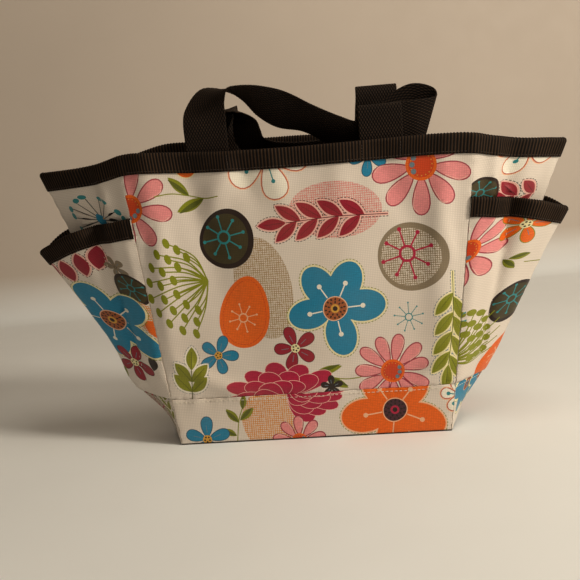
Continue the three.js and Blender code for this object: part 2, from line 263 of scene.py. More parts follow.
def along_rim(x, table):
    """A smooth height in metres at x, from given places across the rim in millimetres."""
    table = np.array(table, float)
    spot = np.clip(np.interp(x / MM, table[:, 0], np.arange(len(table))), 0, len(table) - 1.001)
    i = np.floor(spot).astype(int)
    v = np.pad(table[:, 1], 1, mode="edge")
    return spline(v[i], v[i + 1], v[i + 2], v[np.minimum(i + 3, len(v) - 1)], spot - i) * MM


def settle(p):
    """The empty bag's slump: the rim's waves, both fold tips' droop and the left end's flare."""
    p = np.array(p, float)
    x, y, z = p[..., 0], p[..., 1], p[..., 2]
    high_up = np.clip(z / HEIGHT, 0, 1.1) ** 2
    past = np.clip((np.abs(x) - 0.6 * MOUTH_W) / (MOUTH_W * 0.4 + TIP_MOUTH), 0, 1.1)
    droop = np.where(x > 0, RIGHT_TIP_DROOP, LEFT_TIP_DROOP) * past ** 1.6
    to_back = ease(y / MOUTH_D * 0.5 + 0.5)
    rise = lerp(along_rim(x, FRONT_RIM), along_rim(x, BACK_RIM), to_back)
    p[..., 2] = z + high_up * (rise - droop)
    outside = np.clip((np.abs(x) - half_width(z)) / fold_out(z), 0, 1)
    p[..., 0] = x - np.where(x < 0, LEFT_FLARE, 0) * outside * np.exp(-((z - FLARE_AT) / FLARE_SPAN) ** 2)
    return p


# ---- surfaces to sample


def spline(a, b, c, d, f):
    """Catmull-Rom between b and c at share f."""
    return 0.5 * (2 * b + (c - a) * f + (2 * a - 5 * b + 4 * c - d) * f ** 2
                  + (3 * b - a - 3 * c + d) * f ** 3)


class Surface:
    """A grid of points on a wall, rows upward and columns across, sampled smoothly by (share, up).
    z_low and z_high give its edges' heights at a share before the bag's slump."""

    STEP = 2e-3

    def __init__(self, wall, z_low, z_high, columns, rows=46, outward=1.0):
        self.z_low = z_low if callable(z_low) else (lambda share: z_low + 0 * np.asarray(share, float))
        self.z_high = z_high
        self.outward = outward
        share = np.linspace(0, 1, columns)
        self.grid = np.array([settle(wall(share, lerp(self.z_low(share), z_high, up)))
                              for up in np.linspace(0, 1, rows)])

    def point(self, share, up):
        rows, cols = self.grid.shape[:2]
        share, up = np.broadcast_arrays(np.atleast_1d(share).astype(float), np.atleast_1d(up).astype(float))
        r = np.clip(up, 0, 1) * (rows - 1)
        i = np.clip(np.floor(r).astype(int), 0, rows - 2)
        c = np.clip(share, 0, 1) * (cols - 1)
        j = np.clip(np.floor(c).astype(int), 0, cols - 2)

        def between(value, k, last, f):
            """The spline through value(k) and its neighbours, straightened at the grid's edges."""
            b, d = value(k), value(k + 1)
            a = np.where((k == 0)[:, None], 2 * b - d, value(np.maximum(k - 1, 0)))
            e = np.where((k == last - 2)[:, None], 2 * d - b, value(np.minimum(k + 2, last - 1)))
            return spline(a, b, d, e, f[:, None])

        return between(lambda row: between(lambda col: self.grid[row, col], j, cols, c - j), i, rows, r - i)

    def frame_at(self, share, up):
        """Point and outward unit normal."""
        step = self.STEP
        share, up = np.broadcast_arrays(np.atleast_1d(share).astype(float), np.atleast_1d(up).astype(float))
        across = self.point(np.clip(share + step, 0, 1), up) - self.point(np.clip(share - step, 0, 1), up)
        along = self.point(share, np.clip(up + step, 0, 1)) - self.point(share, np.clip(up - step, 0, 1))
        return self.point(share, up), unit(np.cross(across, along) * self.outward)

    def offset(self, share, up, out):
        p, n = self.frame_at(share, up)
        return p + n * np.reshape(out, (-1, 1))


def rising(share):
    """The bottom edge of a side band, which climbs to the fold."""
    return BAND_FOOT + FOLD_RISE * (1 - np.abs(2 * share - 1))


def four_sides(flat_low, side_low, z_high, flat_columns, side_columns, rows):
    """The surfaces of the front, back, right and left between two heights."""
    return {
        "front": Surface(front_wall, flat_low, z_high, flat_columns, rows),
        "back": Surface(back_wall, flat_low, z_high, flat_columns, rows),
        "right": Surface(gusset_wall, side_low, z_high, side_columns, rows),
        "left": Surface(left_wall, side_low, z_high, side_columns, rows, -1.0),
    }


WALLS = four_sides(BAND, BAND, HEIGHT, 96, 49, 46)
BANDS = four_sides(BAND_FOOT, rising, BAND, 64, 49, 12)
POCKETS = {
    "right": Surface(pocket_wall, POCKET_LOW, POCKET_TOP, 81, 36),
    "left": Surface(left_pocket_wall, POCKET_LOW, POCKET_TOP, 81, 36, -1.0),
}

# ---- camera

YAW, PITCH, ROLL = math.radians(4.57), math.radians(8.77), math.radians(-4.55)
DISTANCE = 0.8017
TARGET = Vector((-0.0157, 0, 0.1278))


def add_camera():
    back = Vector((math.sin(YAW) * math.cos(PITCH), -math.cos(YAW) * math.cos(PITCH), math.sin(PITCH)))
    right = Vector((math.cos(YAW), math.sin(YAW), 0))
    up = back.cross(right)
    across = right * math.cos(ROLL) + up * math.sin(ROLL)
    upward = up * math.cos(ROLL) - right * math.sin(ROLL)
    camera = bpy.data.objects.new("camera", bpy.data.cameras.new("camera"))
    turn = Matrix((across, upward, back)).transposed().to_4x4()
    camera.matrix_world = Matrix.Translation(TARGET + back * DISTANCE) @ turn
    camera.data.lens = 54
    camera.data.sensor_width = 36
    bpy.context.scene.collection.objects.link(camera)
    bpy.context.scene.camera = camera


add_camera()

# ---- node helpers


def linear(hex_colour):
    """A linear colour from its usual hex form."""
    parts = [int(hex_colour[i:i + 2], 16) / 255 for i in (1, 3, 5)]
    return tuple(c / 12.92 if c <= 0.04045 else ((c + 0.055) / 1.055) ** 2.4 for c in parts)


def paint(hex_colour):
    """The same as an opaque colour."""
    return (*linear(hex_colour), 1.0)


class Shader:
    """A material's node tree with one Principled surface."""

    def __init__(self, name, **sockets):
        self.material = bpy.data.materials.new(name)
        self.material.use_nodes = True
        self.tree = self.material.node_tree
        self.surface = self.tree.nodes["Principled BSDF"]
        for key, value in sockets.items():
            self.feed(self.surface, key.replace("_", " "), value)

    def feed(self, node, key, value):
        socket = node.inputs[key]
        if isinstance(value, bpy.types.NodeSocket):
            self.tree.links.new(value, socket)
        elif hasattr(socket.default_value, "__len__") and not hasattr(value, "__len__"):
            socket.default_value = [value] * len(socket.default_value)
        elif hasattr(socket.default_value, "__len__") and len(value) < len(socket.default_value):
            socket.default_value = (*value, 1.0)
        else:
            socket.default_value = value

    def add(self, kind, inputs=(), **settings):
        node = self.tree.nodes.new("ShaderNode" + kind)
        for key, value in settings.items():
            setattr(node, key, value)
        for key, value in dict(inputs).items():
            self.feed(node, key, value)
        return node

    def math(self, operation, a, b=0.0, c=0.0):
        return self.add("Math", {0: a, 1: b, 2: c}, operation=operation).outputs[0]

    def mix(self, share, a, b):
        return self.add("Mix", {0: share, 6: a, 7: b}, data_type="RGBA").outputs[2]

    def scaled(self, colour, by):
        return self.add("VectorMath", {0: colour, "Scale": by}, operation="SCALE").outputs[0]

    def cloth_map(self):
        """The cloth's own map, in metres along and across it."""
        return self.add("UVMap", uv_map="cloth").outputs[0]

    def own_space(self):
        return self.add("TexCoord").outputs["Object"]

    def noise(self, place, scale, detail=3.0, rough=0.5):
        return self.add("TexNoise", {"Vector": place, "Scale": scale, "Detail": detail,
                                     "Roughness": rough}).outputs["Fac"]

    def span(self, value, low_in, high_in, low_out=0.0, high_out=1.0):
        node = self.add("MapRange", {0: value, 1: low_in, 2: high_in, 3: low_out, 4: high_out})
        return node.outputs[0]

    def wave(self, place, direction, period, distortion=0.0, detail=2.0, detail_scale=1.0):
        """Bands 0 to 1 with the given period in the map's units."""
        node = self.add("TexWave", {"Vector": place, "Scale": TAU / 20 / period, "Distortion": distortion,
                                    "Detail": detail, "Detail Scale": detail_scale},
                        wave_type="BANDS", bands_direction=direction)
        return node.outputs["Fac"]

    def weave(self, place, other, period, distortion, detail, fine):
        """Threads across X crossed with threads across the other axis."""
        return self.math("MULTIPLY", self.wave(place, "X", period, distortion, detail, fine),
                         self.wave(place, other, period, distortion, detail, fine))

    def done(self, colour, rough, height, strength, distance):
        """The finished material, with a relief of the given height map."""
        relief = self.add("Bump", {"Height": height, "Strength": strength, "Distance": distance}).outputs[0]
        for key, value in (("Base Color", colour), ("Roughness", rough), ("Normal", relief)):
            self.feed(self.surface, key, value)
        return self.material


# ---- inks of the print

PLAIN, LINEN, STROKES = 0.0, 0.5, 1.0
INKS = {
    "cream": ("#E4DACF", PLAIN),
    "turquoise": ("#0A86AE", STROKES),
    "teal": ("#2C8C92", PLAIN),
    "navy line": ("#12506A", PLAIN),
    "pink": ("#EA9496", STROKES),
    "pale pink": ("#F0BDB2", PLAIN),
    "pink linen": ("#DC8A84", LINEN),
    "rose line": ("#9C3347", PLAIN),
    "red line": ("#B34A3C", PLAIN),
    "orange": ("#EC6A08", STROKES),
    "deep orange": ("#D0420C", PLAIN),
    "orange linen": ("#D98A28", LINEN),
    "burgundy": ("#9C1630", STROKES),
    "deep burgundy": ("#5E0F1C", PLAIN),
    "magenta": ("#B41A44", STROKES),
    "olive": ("#868C0E", PLAIN),
    "deep olive": ("#57600A", PLAIN),
    "brown": ("#26150F", PLAIN),
    "dark linen": ("#423A1E", STROKES),
    "taupe": ("#8F8069", PLAIN),
    "taupe linen": ("#85724F", LINEN),
    "beige linen": ("#A98D63", LINEN),
    "slate": ("#6F8391", PLAIN),
    "slate line": ("#4F5450", PLAIN),
    "white": ("#F3EEE0", PLAIN),
    "pale yellow": ("#EFE6B4", PLAIN),
    "peach": ("#F3BE97", PLAIN),
    "gold": ("#D9A441", PLAIN),
    "rust": ("#A5592C", PLAIN),
    "plum": ("#4A2430", PLAIN),
}

# ---- outlines, in millimetres


def arc(count, start=0.0, stop=TAU):
    return np.linspace(start, stop, count, endpoint=False)


def oval(a, b=None, count=None):
    b = a if b is None else b
    t = arc(count or int(np.clip(8 + 1.6 * max(a, b), 8, 48)))
    return np.stack([a * np.cos(t), b * np.sin(t)], 1)


def egg(a, b):
    """An oval that is narrower towards its top."""
    t = arc(48)
    return np.stack([a * np.cos(t) * (1 - 0.16 * np.sin(t)), b * np.sin(t)], 1)


def pebble(r, lean=0.0):
    """A disc a hand would draw: not quite round."""
    t = arc(52)
    reach = r * (1 + 0.035 * np.sin(2 * t + lean) + 0.02 * np.cos(3 * t + 1.3 * lean))
    return np.stack([reach * np.cos(t), reach * np.sin(t)], 1)


def petal(inner, outer, width, taper=0.42):
    """A petal along +X with a round end, narrower at its foot."""
    t = arc(22)
    along = (1 + np.cos(t)) / 2
    side = width / 2 * np.sin(t) * (taper + (1 - taper) * along) * 1.12
    return np.stack([lerp(inner, outer, along), side], 1)


def leaf(length, width):
    """A leaf along +X from its foot at the origin, pointed at both ends."""
    t = np.linspace(0, 1, 13)
    side = width / 2 * np.sin(np.pi * t) ** 0.85
    upper = np.stack([length * t, side], 1)
    return np.concatenate([upper, np.stack([length * t, -side], 1)[-2:0:-1]])


def lobes(angles, middle, a, b, core):
    """The joined outline of oval petals, half-axes a and b, at the given angles round a core."""
    t = arc(150)
    reach = np.full(t.shape, core)
    for angle, size in angles:
        turn = t - math.radians(angle)
        m = middle * size
        c, s = np.cos(turn), np.sin(turn)
        k = c * c / (a * size) ** 2 + s * s / (b * size) ** 2
        root = (m * c / (a * size) ** 2) ** 2 - k * ((m / (a * size)) ** 2 - 1)
        hit = (m * c / (a * size) ** 2 + np.sqrt(np.maximum(root, 0))) / k
        reach = np.where(root > 0, np.maximum(reach, hit), reach)
    return np.stack([reach * np.cos(t), reach * np.sin(t)], 1)


def grown(outline, by):
    """The outline moved outward."""
    ahead, behind = np.roll(outline, -1, 0), np.roll(outline, 1, 0)
    tangent = ahead - behind
    normal = unit(np.stack([tangent[:, 1], -tangent[:, 0]], 1))
    area = np.sum(outline[:, 0] * ahead[:, 1] - outline[:, 1] * ahead[:, 0])
    return outline + normal * by * (1 if area > 0 else -1)


def curve(points, count=14):
    """A smooth open line through given points."""
    p = np.array(points, float)
    if len(p) == 2:
        return p
    p = np.concatenate([2 * p[:1] - p[1:2], p, 2 * p[-1:] - p[-2:-1]])
    out = []
    for k in range(1, len(p) - 2):
        f = np.linspace(0, 1, max(3, count // (len(p) - 3)), endpoint=False)[:, None]
        out.append(spline(p[k - 1], p[k], p[k + 1], p[k + 2], f))
    return np.concatenate(out + [p[-2:-1]])


def ribbon(path, width, thin_end=1.0):
    """A stroke of the given width along a line."""
    path = np.array(path, float)
    tangent = np.gradient(path, axis=0)
    normal = unit(np.stack([-tangent[:, 1], tangent[:, 0]], 1))
    half = (width / 2) * np.linspace(1, thin_end, len(path))[:, None]
    return np.concatenate([path + normal * half, (path - normal * half)[::-1]])


def bar(start, stop, width, thin_end=1.0):
    """A straight stroke along +X."""
    return ribbon([(start, 0), (stop, 0)], width, thin_end)


class Print:
    """Motifs on one panel, in millimetres, each lying on top of those before it."""

    HALO = 1.3

    def __init__(self, shear=0.0, mirror=1, stretch=1.0):
        self.shear = shear
        self.mirror = mirror
        self.stretch = stretch
        self.shapes = []

    def fill(self, outline, ink, at=(0, 0), turn=0.0):
        c, s = compass(turn)
        a = outline[:, 0] * c - outline[:, 1] * s
        b = outline[:, 0] * s + outline[:, 1] * c
        lean = self.shear * (1 if at[0] > 0 else -1)
        self.shapes.append((np.stack([at[0] + self.mirror * self.stretch * a + lean * b, at[1] + b], 1), ink))

    def dashes(self, outline, ink, at=(0, 0), turn=0.0, dash=1.9, gap=1.1, width=0.6):
        loop = np.concatenate([outline, outline[:1]])
        run = distances(loop)
        for k in range(int(run[-1] / (dash + gap))):
            ends = k * (dash + gap) + np.array([0, dash / 2, dash])
            self.fill(ribbon(resample(ends, run, loop), width), ink, at, turn)

    def patch(self, placed, ink, halo, dash_ink, width=0.6, stem=None, rib=None, rib_of=None):
        """Shapes, given with their places and turns, that share a halo and a dashed line round it."""
        for shape, at, turn in placed:
            self.dashes(grown(shape, self.HALO + 0.6), dash_ink, at, turn, width=width)
        if stem is not None:
            self.dashes(grown(stem, self.HALO + 0.4), dash_ink)
        for shape, at, turn in placed:
            self.fill(grown(shape, self.HALO), halo, at, turn)
        if stem is not None:
            self.fill(grown(stem, self.HALO - 0.2), halo)
        for shape, at, turn in placed:
            self.fill(shape, ink, at, turn)
            if rib:
                self.fill(rib_of(shape[:, 0].max()), rib, at, turn)

    # ---- motifs

    def daisy(self, at, radius, turn=0.0, petals=8, width=0.40):
        for k in range(petals):
            angle = turn + 360 * k / petals + 5 * math.sin(3.1 * k)
            reach = radius * (1 - 0.06 * (1 + math.sin(2.3 * k)) / 2)
            shape = petal(radius * 0.24, reach, radius * width)
            self.fill(grown(shape, 0.6), "rose line", at, angle)
            self.fill(grown(shape, -0.4), "pink", at, angle)
            glint = curve([(radius * 0.5, -radius * width * 0.30), (radius * 0.8, -radius * width * 0.40),
                           (reach - 2.2, -radius * width * 0.16)], 8)
            self.fill(ribbon(glint, 0.6), "pale pink", at, angle)
        self.fill(oval(radius * 0.31), "orange", at)
        self.fill(oval(radius * 0.25), "deep orange", at)
        for k in range(16):
            self.fill(oval(radius * 0.013) + (radius * 0.215, 0), "gold", at, 22.5 * k)
        for k, spread in enumerate((-0.13, 0.0, 0.13)):
            spot = oval(radius * 0.055)
            self.fill(spot + (radius * spread, -radius * (0.15 + 0.03 * (k % 2))), "slate", at, turn)

    def bloom(self, at, angles, reach, ink="turquoise", halo="pale yellow", dash_ink="olive",
              core="gold", stamens="white", middle="rust"):
        shape = lobes(angles, reach * 0.56, reach * 0.44, reach * 0.315, reach * 0.24)
        self.patch([(shape, at, 0.0)], ink, halo, dash_ink)
        for angle, size in angles:
            self.fill(bar(reach * 0.26, reach * 0.53 * size, reach * 0.026), stamens, at, angle)
            self.fill(oval(reach * 0.05) + (reach * 0.55 * size, 0), stamens, at, angle)
        self.fill(pebble(reach * 0.25), "peach", at)
        self.fill(pebble(reach * 0.23), middle, at)
        for ring, count in ((0.19, 14), (0.13, 9)):
            for k in range(count):
                spot = oval(reach * 0.026, reach * 0.018) + (reach * ring, 0)
                self.fill(spot, "brown", at, 360 * k / count + 40 * ring)
        self.fill(oval(reach * 0.09), core, at)
        self.fill(oval(reach * 0.05), "brown", at)

    def small_flower(self, at, reach, turn=0.0, ink="burgundy", line="deep burgundy", middle="pale yellow"):
        for k in range(5):
            shape = petal(reach * 0.12, reach * (1 - 0.07 * (k % 2)), reach * 0.56, 0.5)
            self.fill(grown(shape, 0.45), line, at, turn + 72 * k)
            self.fill(grown(shape, -0.2), ink, at, turn + 72 * k)
            self.fill(ribbon(curve([(reach * 0.3, 0), (reach * 0.62, reach * 0.03)]), 0.5), "slate", at,
                      turn + 72 * k)
        self.fill(oval(reach * 0.2), middle, at)
        for k in range(5):
            self.fill(oval(reach * 0.04) + (reach * 0.11, 0), "brown", at, turn + 36 + 72 * k)

    def burst(self, at, ring, reach, ink, back, arms=8, turn=0.0, line=0.9):
        for k in range(arms):
            far = reach * (1 - 0.08 * (k % 2))
            self.fill(bar(ring, far, line), ink, at, turn + 360 * k / arms)
            self.fill(oval(line * 1.35) + (far, 0), ink, at, turn + 360 * k / arms)
        self.fill(oval(ring + line), ink, at)
        self.fill(oval(ring - line * 0.6), back, at)

    def button(self, at, radius, rim, cloth, ink, turn=0.0, shift=(-0.1, 0.07)):
        """A disc of cloth with a rim and a burst."""
        self.fill(pebble(radius, turn), rim, at, turn)
        middle = (at[0] + shift[0] * radius, at[1] + shift[1] * radius)
        self.fill(pebble(radius * 0.84, turn), cloth, (at[0] + shift[0] * radius * 0.4, at[1]), turn)
        self.burst(middle, radius * 0.2, radius * 0.72, ink, cloth, 8, turn, radius * 0.046)

    def branch(self, foot, tip, leaves, length, width, ink, halo, dash_ink, rib, bend=0.0, turn_out=38):
        """Paired leaves along a stem from foot to tip, with a leaf at the tip."""
        foot, tip = np.array(foot, float), np.array(tip, float)
        across = np.array([-(tip - foot)[1], (tip - foot)[0]]) * bend
        axis = curve([foot, (foot + tip) / 2 + across, tip], 24)
        heading = math.degrees(math.atan2(*(tip - axis[-4])[::-1]))
        placed = [(leaf(length, width), tip, heading)]
        for k in range(leaves):
            at = axis[int(lerp(3, len(axis) - 2, (k + 0.7) / leaves))]
            for side in (-1, 1):
                size = 1.05 - 0.12 * abs(k / leaves - 0.4)
                shift = (tip - foot) * 0.02 * side
                placed.append((leaf(length * size, width * size), at + shift, heading + side * turn_out))
        stem = ribbon(axis, 0.7)
        self.patch(placed, ink, halo, dash_ink, stem=stem, rib=rib,
                   rib_of=lambda span: bar(span * 0.12, span * 0.8, 0.45, 0.4))
        self.fill(stem, rib)

    def umbel(self, root, reach, turn):
        """A seed head: fine stems that spread from one root, each with a seed."""
        fan = 118
        root = np.array(root, float)
        for row, (share, count) in enumerate(((0.55, 6), (0.76, 8), (0.97, 9))):
            for k in range(count):
                aside = k / (count - 1) - 0.5
                far = reach * share * (1 - 0.12 * abs(2 * k / (count - 1) - 1))
                end = root + far * np.array(compass(turn + fan * aside + 3 * row))
                knee = root + far * 0.5 * np.array(compass(turn + fan * 0.72 * aside * 1.7))
                self.fill(ribbon(curve([root, knee, end], 12), 1.3, 0.8), "olive")
                self.fill(oval(2.8, 4.6, 16), "olive", end, turn - 166)

    def sprig(self, foot, height, turn):
        leaves = [(1.0, 0, 0.55), (0.62, 42, 0.62), (0.62, -42, 0.58), (0.3, 47, 0.62), (0.3, -45, 0.55)]
        placed = []
        for along, lean, size in leaves:
            at = np.array(foot) + height * along * 0.62 * np.array(compass(turn))
            placed.append((leaf(height * size * 0.8, height * 0.22), at, turn + lean))
        self.patch(placed, "olive", "white", "slate", 0.45, rib="deep olive",
                   rib_of=lambda span: bar(1, span * 0.8, 0.5))
        self.fill(ribbon([foot, placed[0][1]], 0.8), "deep olive")

    def stem(self, points, leaves):
        self.fill(ribbon(curve(points, 20), 0.9), "olive")
        for at, turn, length, across in leaves:
            self.fill(leaf(length, across), "olive", at, turn)
            self.fill(leaf(length * 0.96, across * 0.5), "deep olive", at, turn + 4)

    def fan_flower(self, at, reach, turn, spread, flat):
        """A layered flower seen from the side: rows of petals that spread from one root."""
        for share, count, fan in ((1.0, 6, 168), (0.78, 5, 150), (0.52, 4, 120)):
            for k in range(count):
                c, s = compass(turn + fan * spread * (k / (count - 1) - 0.5))
                shape = petal(reach * 0.05, reach * share * (1 - 0.05 * (k % 2)), reach * 0.42, 0.35)
                shape = shape @ np.array([[c, s * flat], [-s, c * flat]])
                self.fill(grown(shape, 0.4), "pale pink", at)
                self.fill(grown(shape, -0.1), "magenta", at)

    def dandelion(self, at, reach, turn, fan, arms):
        """A seed head: a leaf-shaped heart with thin arms that end in oval seeds."""
        for k in range(arms):
            angle = turn + fan * (k / (arms - 1) - 0.5)
            far = reach * (1 - 0.05 * (k % 2))
            self.fill(bar(2, far, 0.8), "slate line", at, angle)
            self.fill(oval(2.1, 3.3, 14) + (far, 0), "teal", at, angle + 4 * (-1) ** k)
        self.fill(leaf(reach * 0.62, reach * 0.34) - (reach * 0.34, 0), "turquoise", at, turn + 10)
        self.fill(oval(1.1), "gold", (at[0] - 3, at[1] + 1))

    def outline_flower(self, at, reach, turn):
        """White petals drawn with a thin red line, each with a stamen."""
        for k in range(5):
            angle = turn + 72 * k
            shape = petal(reach * 0.06, reach, reach * 0.74, 0.3)
            self.fill(grown(shape, 1.5), "peach", at, angle)
            self.fill(grown(shape, 0.8), "red line", at, angle)
            self.fill(shape, "white", at, angle)
            self.fill(bar(reach * 0.2, reach * 0.56, 1.0), "teal", at, angle)
            self.fill(oval(1.8) + (reach * 0.58, 0), "teal", at, angle)
        self.fill(oval(reach * 0.13), "brown", at)


# ---- cloth pieces


def make_piece(name, points, faces, material, body="root", cloth=None, ink=None):
    """A mesh that rides a body. cloth and ink are its map and colours, one for each face corner."""
    mesh = bpy.data.meshes.new(name)
    mesh.from_pydata([tuple(p) for p in points], [], [tuple(int(i) for i in f) for f in faces])
    mesh.materials.append(material)
    if cloth is not None:
        mesh.uv_layers.new(name="cloth").data.foreach_set("uv", np.asarray(cloth, np.float32).ravel())
    if ink is not None:
        layer = mesh.color_attributes.new(name="ink", type="FLOAT_COLOR", domain="CORNER")
        layer.data.foreach_set("color", np.asarray(ink, np.float32).ravel())
    mesh.validate()
    mesh.shade_smooth()
    piece = bpy.data.objects.new(name, mesh)
    bpy.context.scene.collection.objects.link(piece)
    if body:
        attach(piece, body)
    return piece


def stand_in(piece, node):
    """Hides a CAD node, whose place a piece takes."""
    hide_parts(node)


def spacing_points(z_low, z_high, half, step):
    """Loose points inside a panel on a staggered grid."""
    points = []
    for row, z in enumerate(np.arange(z_low + step * 0.7, z_high - step * 0.5, step * 0.9)):
        reach = half(z) - step * 0.6
        count = max(2, int(2 * reach / step))
        x = np.linspace(-reach, reach, count) + (0.25 * step if row % 2 else -0.25 * step)
        points += [(a, z) for a in x if abs(a) < reach]
    return points


class Panel:
    """A flat-cut piece of cloth laid on a surface. Its own map is millimetres: across from its
    middle line, and height."""

    LEVELS = np.array([0.0, 0.35, 0.7, 1.0])

    def __init__(self, surface):
        self.surface = surface
        self.z_low = surface.z_low
        self.z_high = surface.z_high
        self.share_table = np.linspace(0, 1, 241)
        runs = [distances(surface.point(self.share_table, up)) for up in self.LEVELS]
        self.lengths = np.array([run[-1] / 2 for run in runs])
        self.profile = (runs[1] / runs[1][-1] + runs[2] / runs[2][-1]) / 2

    def half(self, z_mm):
        floor = float(self.z_low(0.0))
        up = (z_mm * MM - floor) / (self.z_high - floor)
        return np.interp(up, self.LEVELS, self.lengths) / MM

    def share_of(self, v, z_mm):
        q = 0.5 + np.asarray(v) / (2 * self.half(np.asarray(z_mm, float)))
        return np.interp(q, self.profile, self.share_table)

    def v_of(self, share, z_mm):
        q = np.interp(share, self.share_table, self.profile)
        return (q - 0.5) * 2 * self.half(z_mm)

    def up_of(self, share, z_mm):
        floor = self.z_low(share)
        return (np.asarray(z_mm) * MM - floor) / (self.z_high - floor)

    def outline(self):
        """The panel's edge, anticlockwise."""
        step = 2.5
        share = np.linspace(0, 1, max(8, int(2 * self.lengths[0] / MM / step)))
        floor = self.z_low(share) / MM
        bottom = [(self.v_of(s, z), z) for s, z in zip(share, floor)]
        share = np.linspace(0, 1, max(8, int(2 * self.lengths[-1] / MM / step)))
        z_top = self.z_high / MM
        top = [(self.v_of(s, z_top), z_top) for s in share]
        side = np.linspace(floor[0], z_top, max(5, int((z_top - floor[0]) / step)))[1:-1]
        right = [(self.half(z), z) for z in side]
        left = [(-self.half(z), z) for z in side[::-1]]
        return np.array(bottom + right + top[::-1] + left, float)

    def place(self, v, z_mm, out):
        share = self.share_of(v, z_mm)
        return self.surface.offset(share, self.up_of(share, z_mm), out)


def inside(outline, points):
    """Which points lie inside a closed outline, by winding."""
    a, b = outline, np.roll(outline, -1, 0)
    x, y = points[:, :1], points[:, 1:]
    cross = (b[:, 0] - a[:, 0]) * (y - a[:, 1]) - (x - a[:, 0]) * (b[:, 1] - a[:, 1])
    rising_edge = (a[:, 1] <= y) & (b[:, 1] > y) & (cross > 0)
    falling_edge = (a[:, 1] > y) & (b[:, 1] <= y) & (cross < 0)
    return (rising_edge.sum(1) - falling_edge.sum(1)) != 0


def cut_sheet(panel):
    """Works out the panel's flat outline in metres, and leaves it unused."""
    edge = panel.outline() * MM


SEAM_TUCK = 0.5 * MM
SEAM_REACH = 1.5
PUCKER = 0.32 * MM
PUCKER_REACH = 7
MESH_STEP = 4.5


def mesh_panel(edge, half, shapes):
    """Points and triangles of a panel in its own map, cut along its edge and every printed shape,
    with the number of the shape on top of each triangle, counted from one."""
    coords = [Vector(p) for p in edge]
    faces = [list(range(len(edge)))]
    for shape, _ in shapes:
        faces.append(list(range(len(coords), len(coords) + len(shape))))
        coords += [Vector(p) for p in shape]
    low_z, high_z = edge[:, 1].min(), edge[:, 1].max()
    coords += [Vector(p) for p in spacing_points(low_z, high_z, half, MESH_STEP)]
    for inset in (0.7, 1.6):
        for p in edge:
            lean = np.array([0, (low_z + high_z) / 2]) - p
            coords.append(Vector(p + inset * np.sign(lean) * (np.abs(lean) > 3)))
    verts, _, triangles, _, _, _ = delaunay_2d_cdt(coords, [], faces, 0, 1e-4, False)
    flat = np.array([tuple(v) for v in verts])
    tri = np.array(triangles)
    tri = tri[inside(edge, flat[tri].mean(1))]
    middle = flat[tri].mean(1)
    shape_of = np.zeros(len(tri), int)
    for k, (shape, _) in enumerate(shapes):
        near = np.where(np.all((middle > shape.min(0)) & (middle < shape.max(0)), axis=1))[0]
        if len(near):
            shape_of[near[inside(shape, middle[near])]] = k + 1
    used, tri = np.unique(tri, return_inverse=True)
    return flat[used], tri.reshape(-1, 3), shape_of


def seam_lift(panel, v, z, tuck):
    """How far the cloth stands out near its seams: it dips into each one and puckers beside it."""
    side = panel.half(z) - np.abs(v)
    floor = z - panel.z_low(panel.share_of(v, z)) / MM
    top = panel.z_high / MM - z
    waves = (np.sin(z * 0.61 + 3 * np.sin(z * 0.13)), np.sin(v * 0.55 + 3 * np.sin(v * 0.11)),
             np.sin(v * 0.47 + 3 * np.sin(v * 0.09)))
    sink, pucker = 0, 0
    for weight, gap, wave in zip(tuck, (side, floor, top), waves):
        gap = np.maximum(gap, 0)
        sink = sink + weight * np.exp(-(gap / SEAM_REACH) ** 2)
        pucker = pucker + weight * np.exp(-gap / PUCKER_REACH) * wave
    return PUCKER * pucker - SEAM_TUCK * np.minimum(sink, 1.2)


def cloth_piece(name, panel, drawing, tuck):
    """One printed panel. tuck says how far its sides, bottom and top turn in at their seams."""
    flat, tri, shape_of = mesh_panel(panel.outline(), panel.half, drawing.shapes)
    lift = seam_lift(panel, *flat.T, tuck)
    points = np.concatenate([panel.place(*flat.T, lift), panel.place(*flat.T, lift - CANVAS)])
    if panel.surface.outward < 0:
        tri = tri[:, ::-1]
    open_edges = {}
    for a, b, c in tri:
        for edge in ((a, b), (b, c), (c, a)):
            if not open_edges.pop(edge[::-1], False):
                open_edges[edge] = True
    count = len(flat)
    walls = []
    for a, b in open_edges:
        walls += [(b, a, a + count), (b, a + count, b + count)]
    faces = np.concatenate([tri, tri[:, ::-1] + count, np.array(walls)])
    inks = ["cream"] + [ink for _, ink in drawing.shapes]
    printed = [(*linear(INKS[inks[k]][0]), INKS[inks[k]][1]) for k in shape_of]
    backing = [(*linear("#8E8578"), PLAIN)] * len(tri)
    # The cut edges' walls are painted a darker brown so each seam gap reads as a fold's shadow: painted shade.
    seam = [(*linear("#8A7A67"), PLAIN)] * len(walls)
    cloth = np.concatenate([flat, flat]) * MM
    return make_piece(name, points, faces, CANVAS_LOOK, cloth=cloth[faces.ravel()],
                      ink=np.repeat(printed + backing + seam, 3, axis=0))


# ---- finishes


LINEN_STEP = 1.9 * MM
WEAVE_STEP = 1.5 * MM
RIB = 2.7 * MM
BEAD_ALONG = 4.4 * MM
BEAD_ACROSS = 2.5 * MM


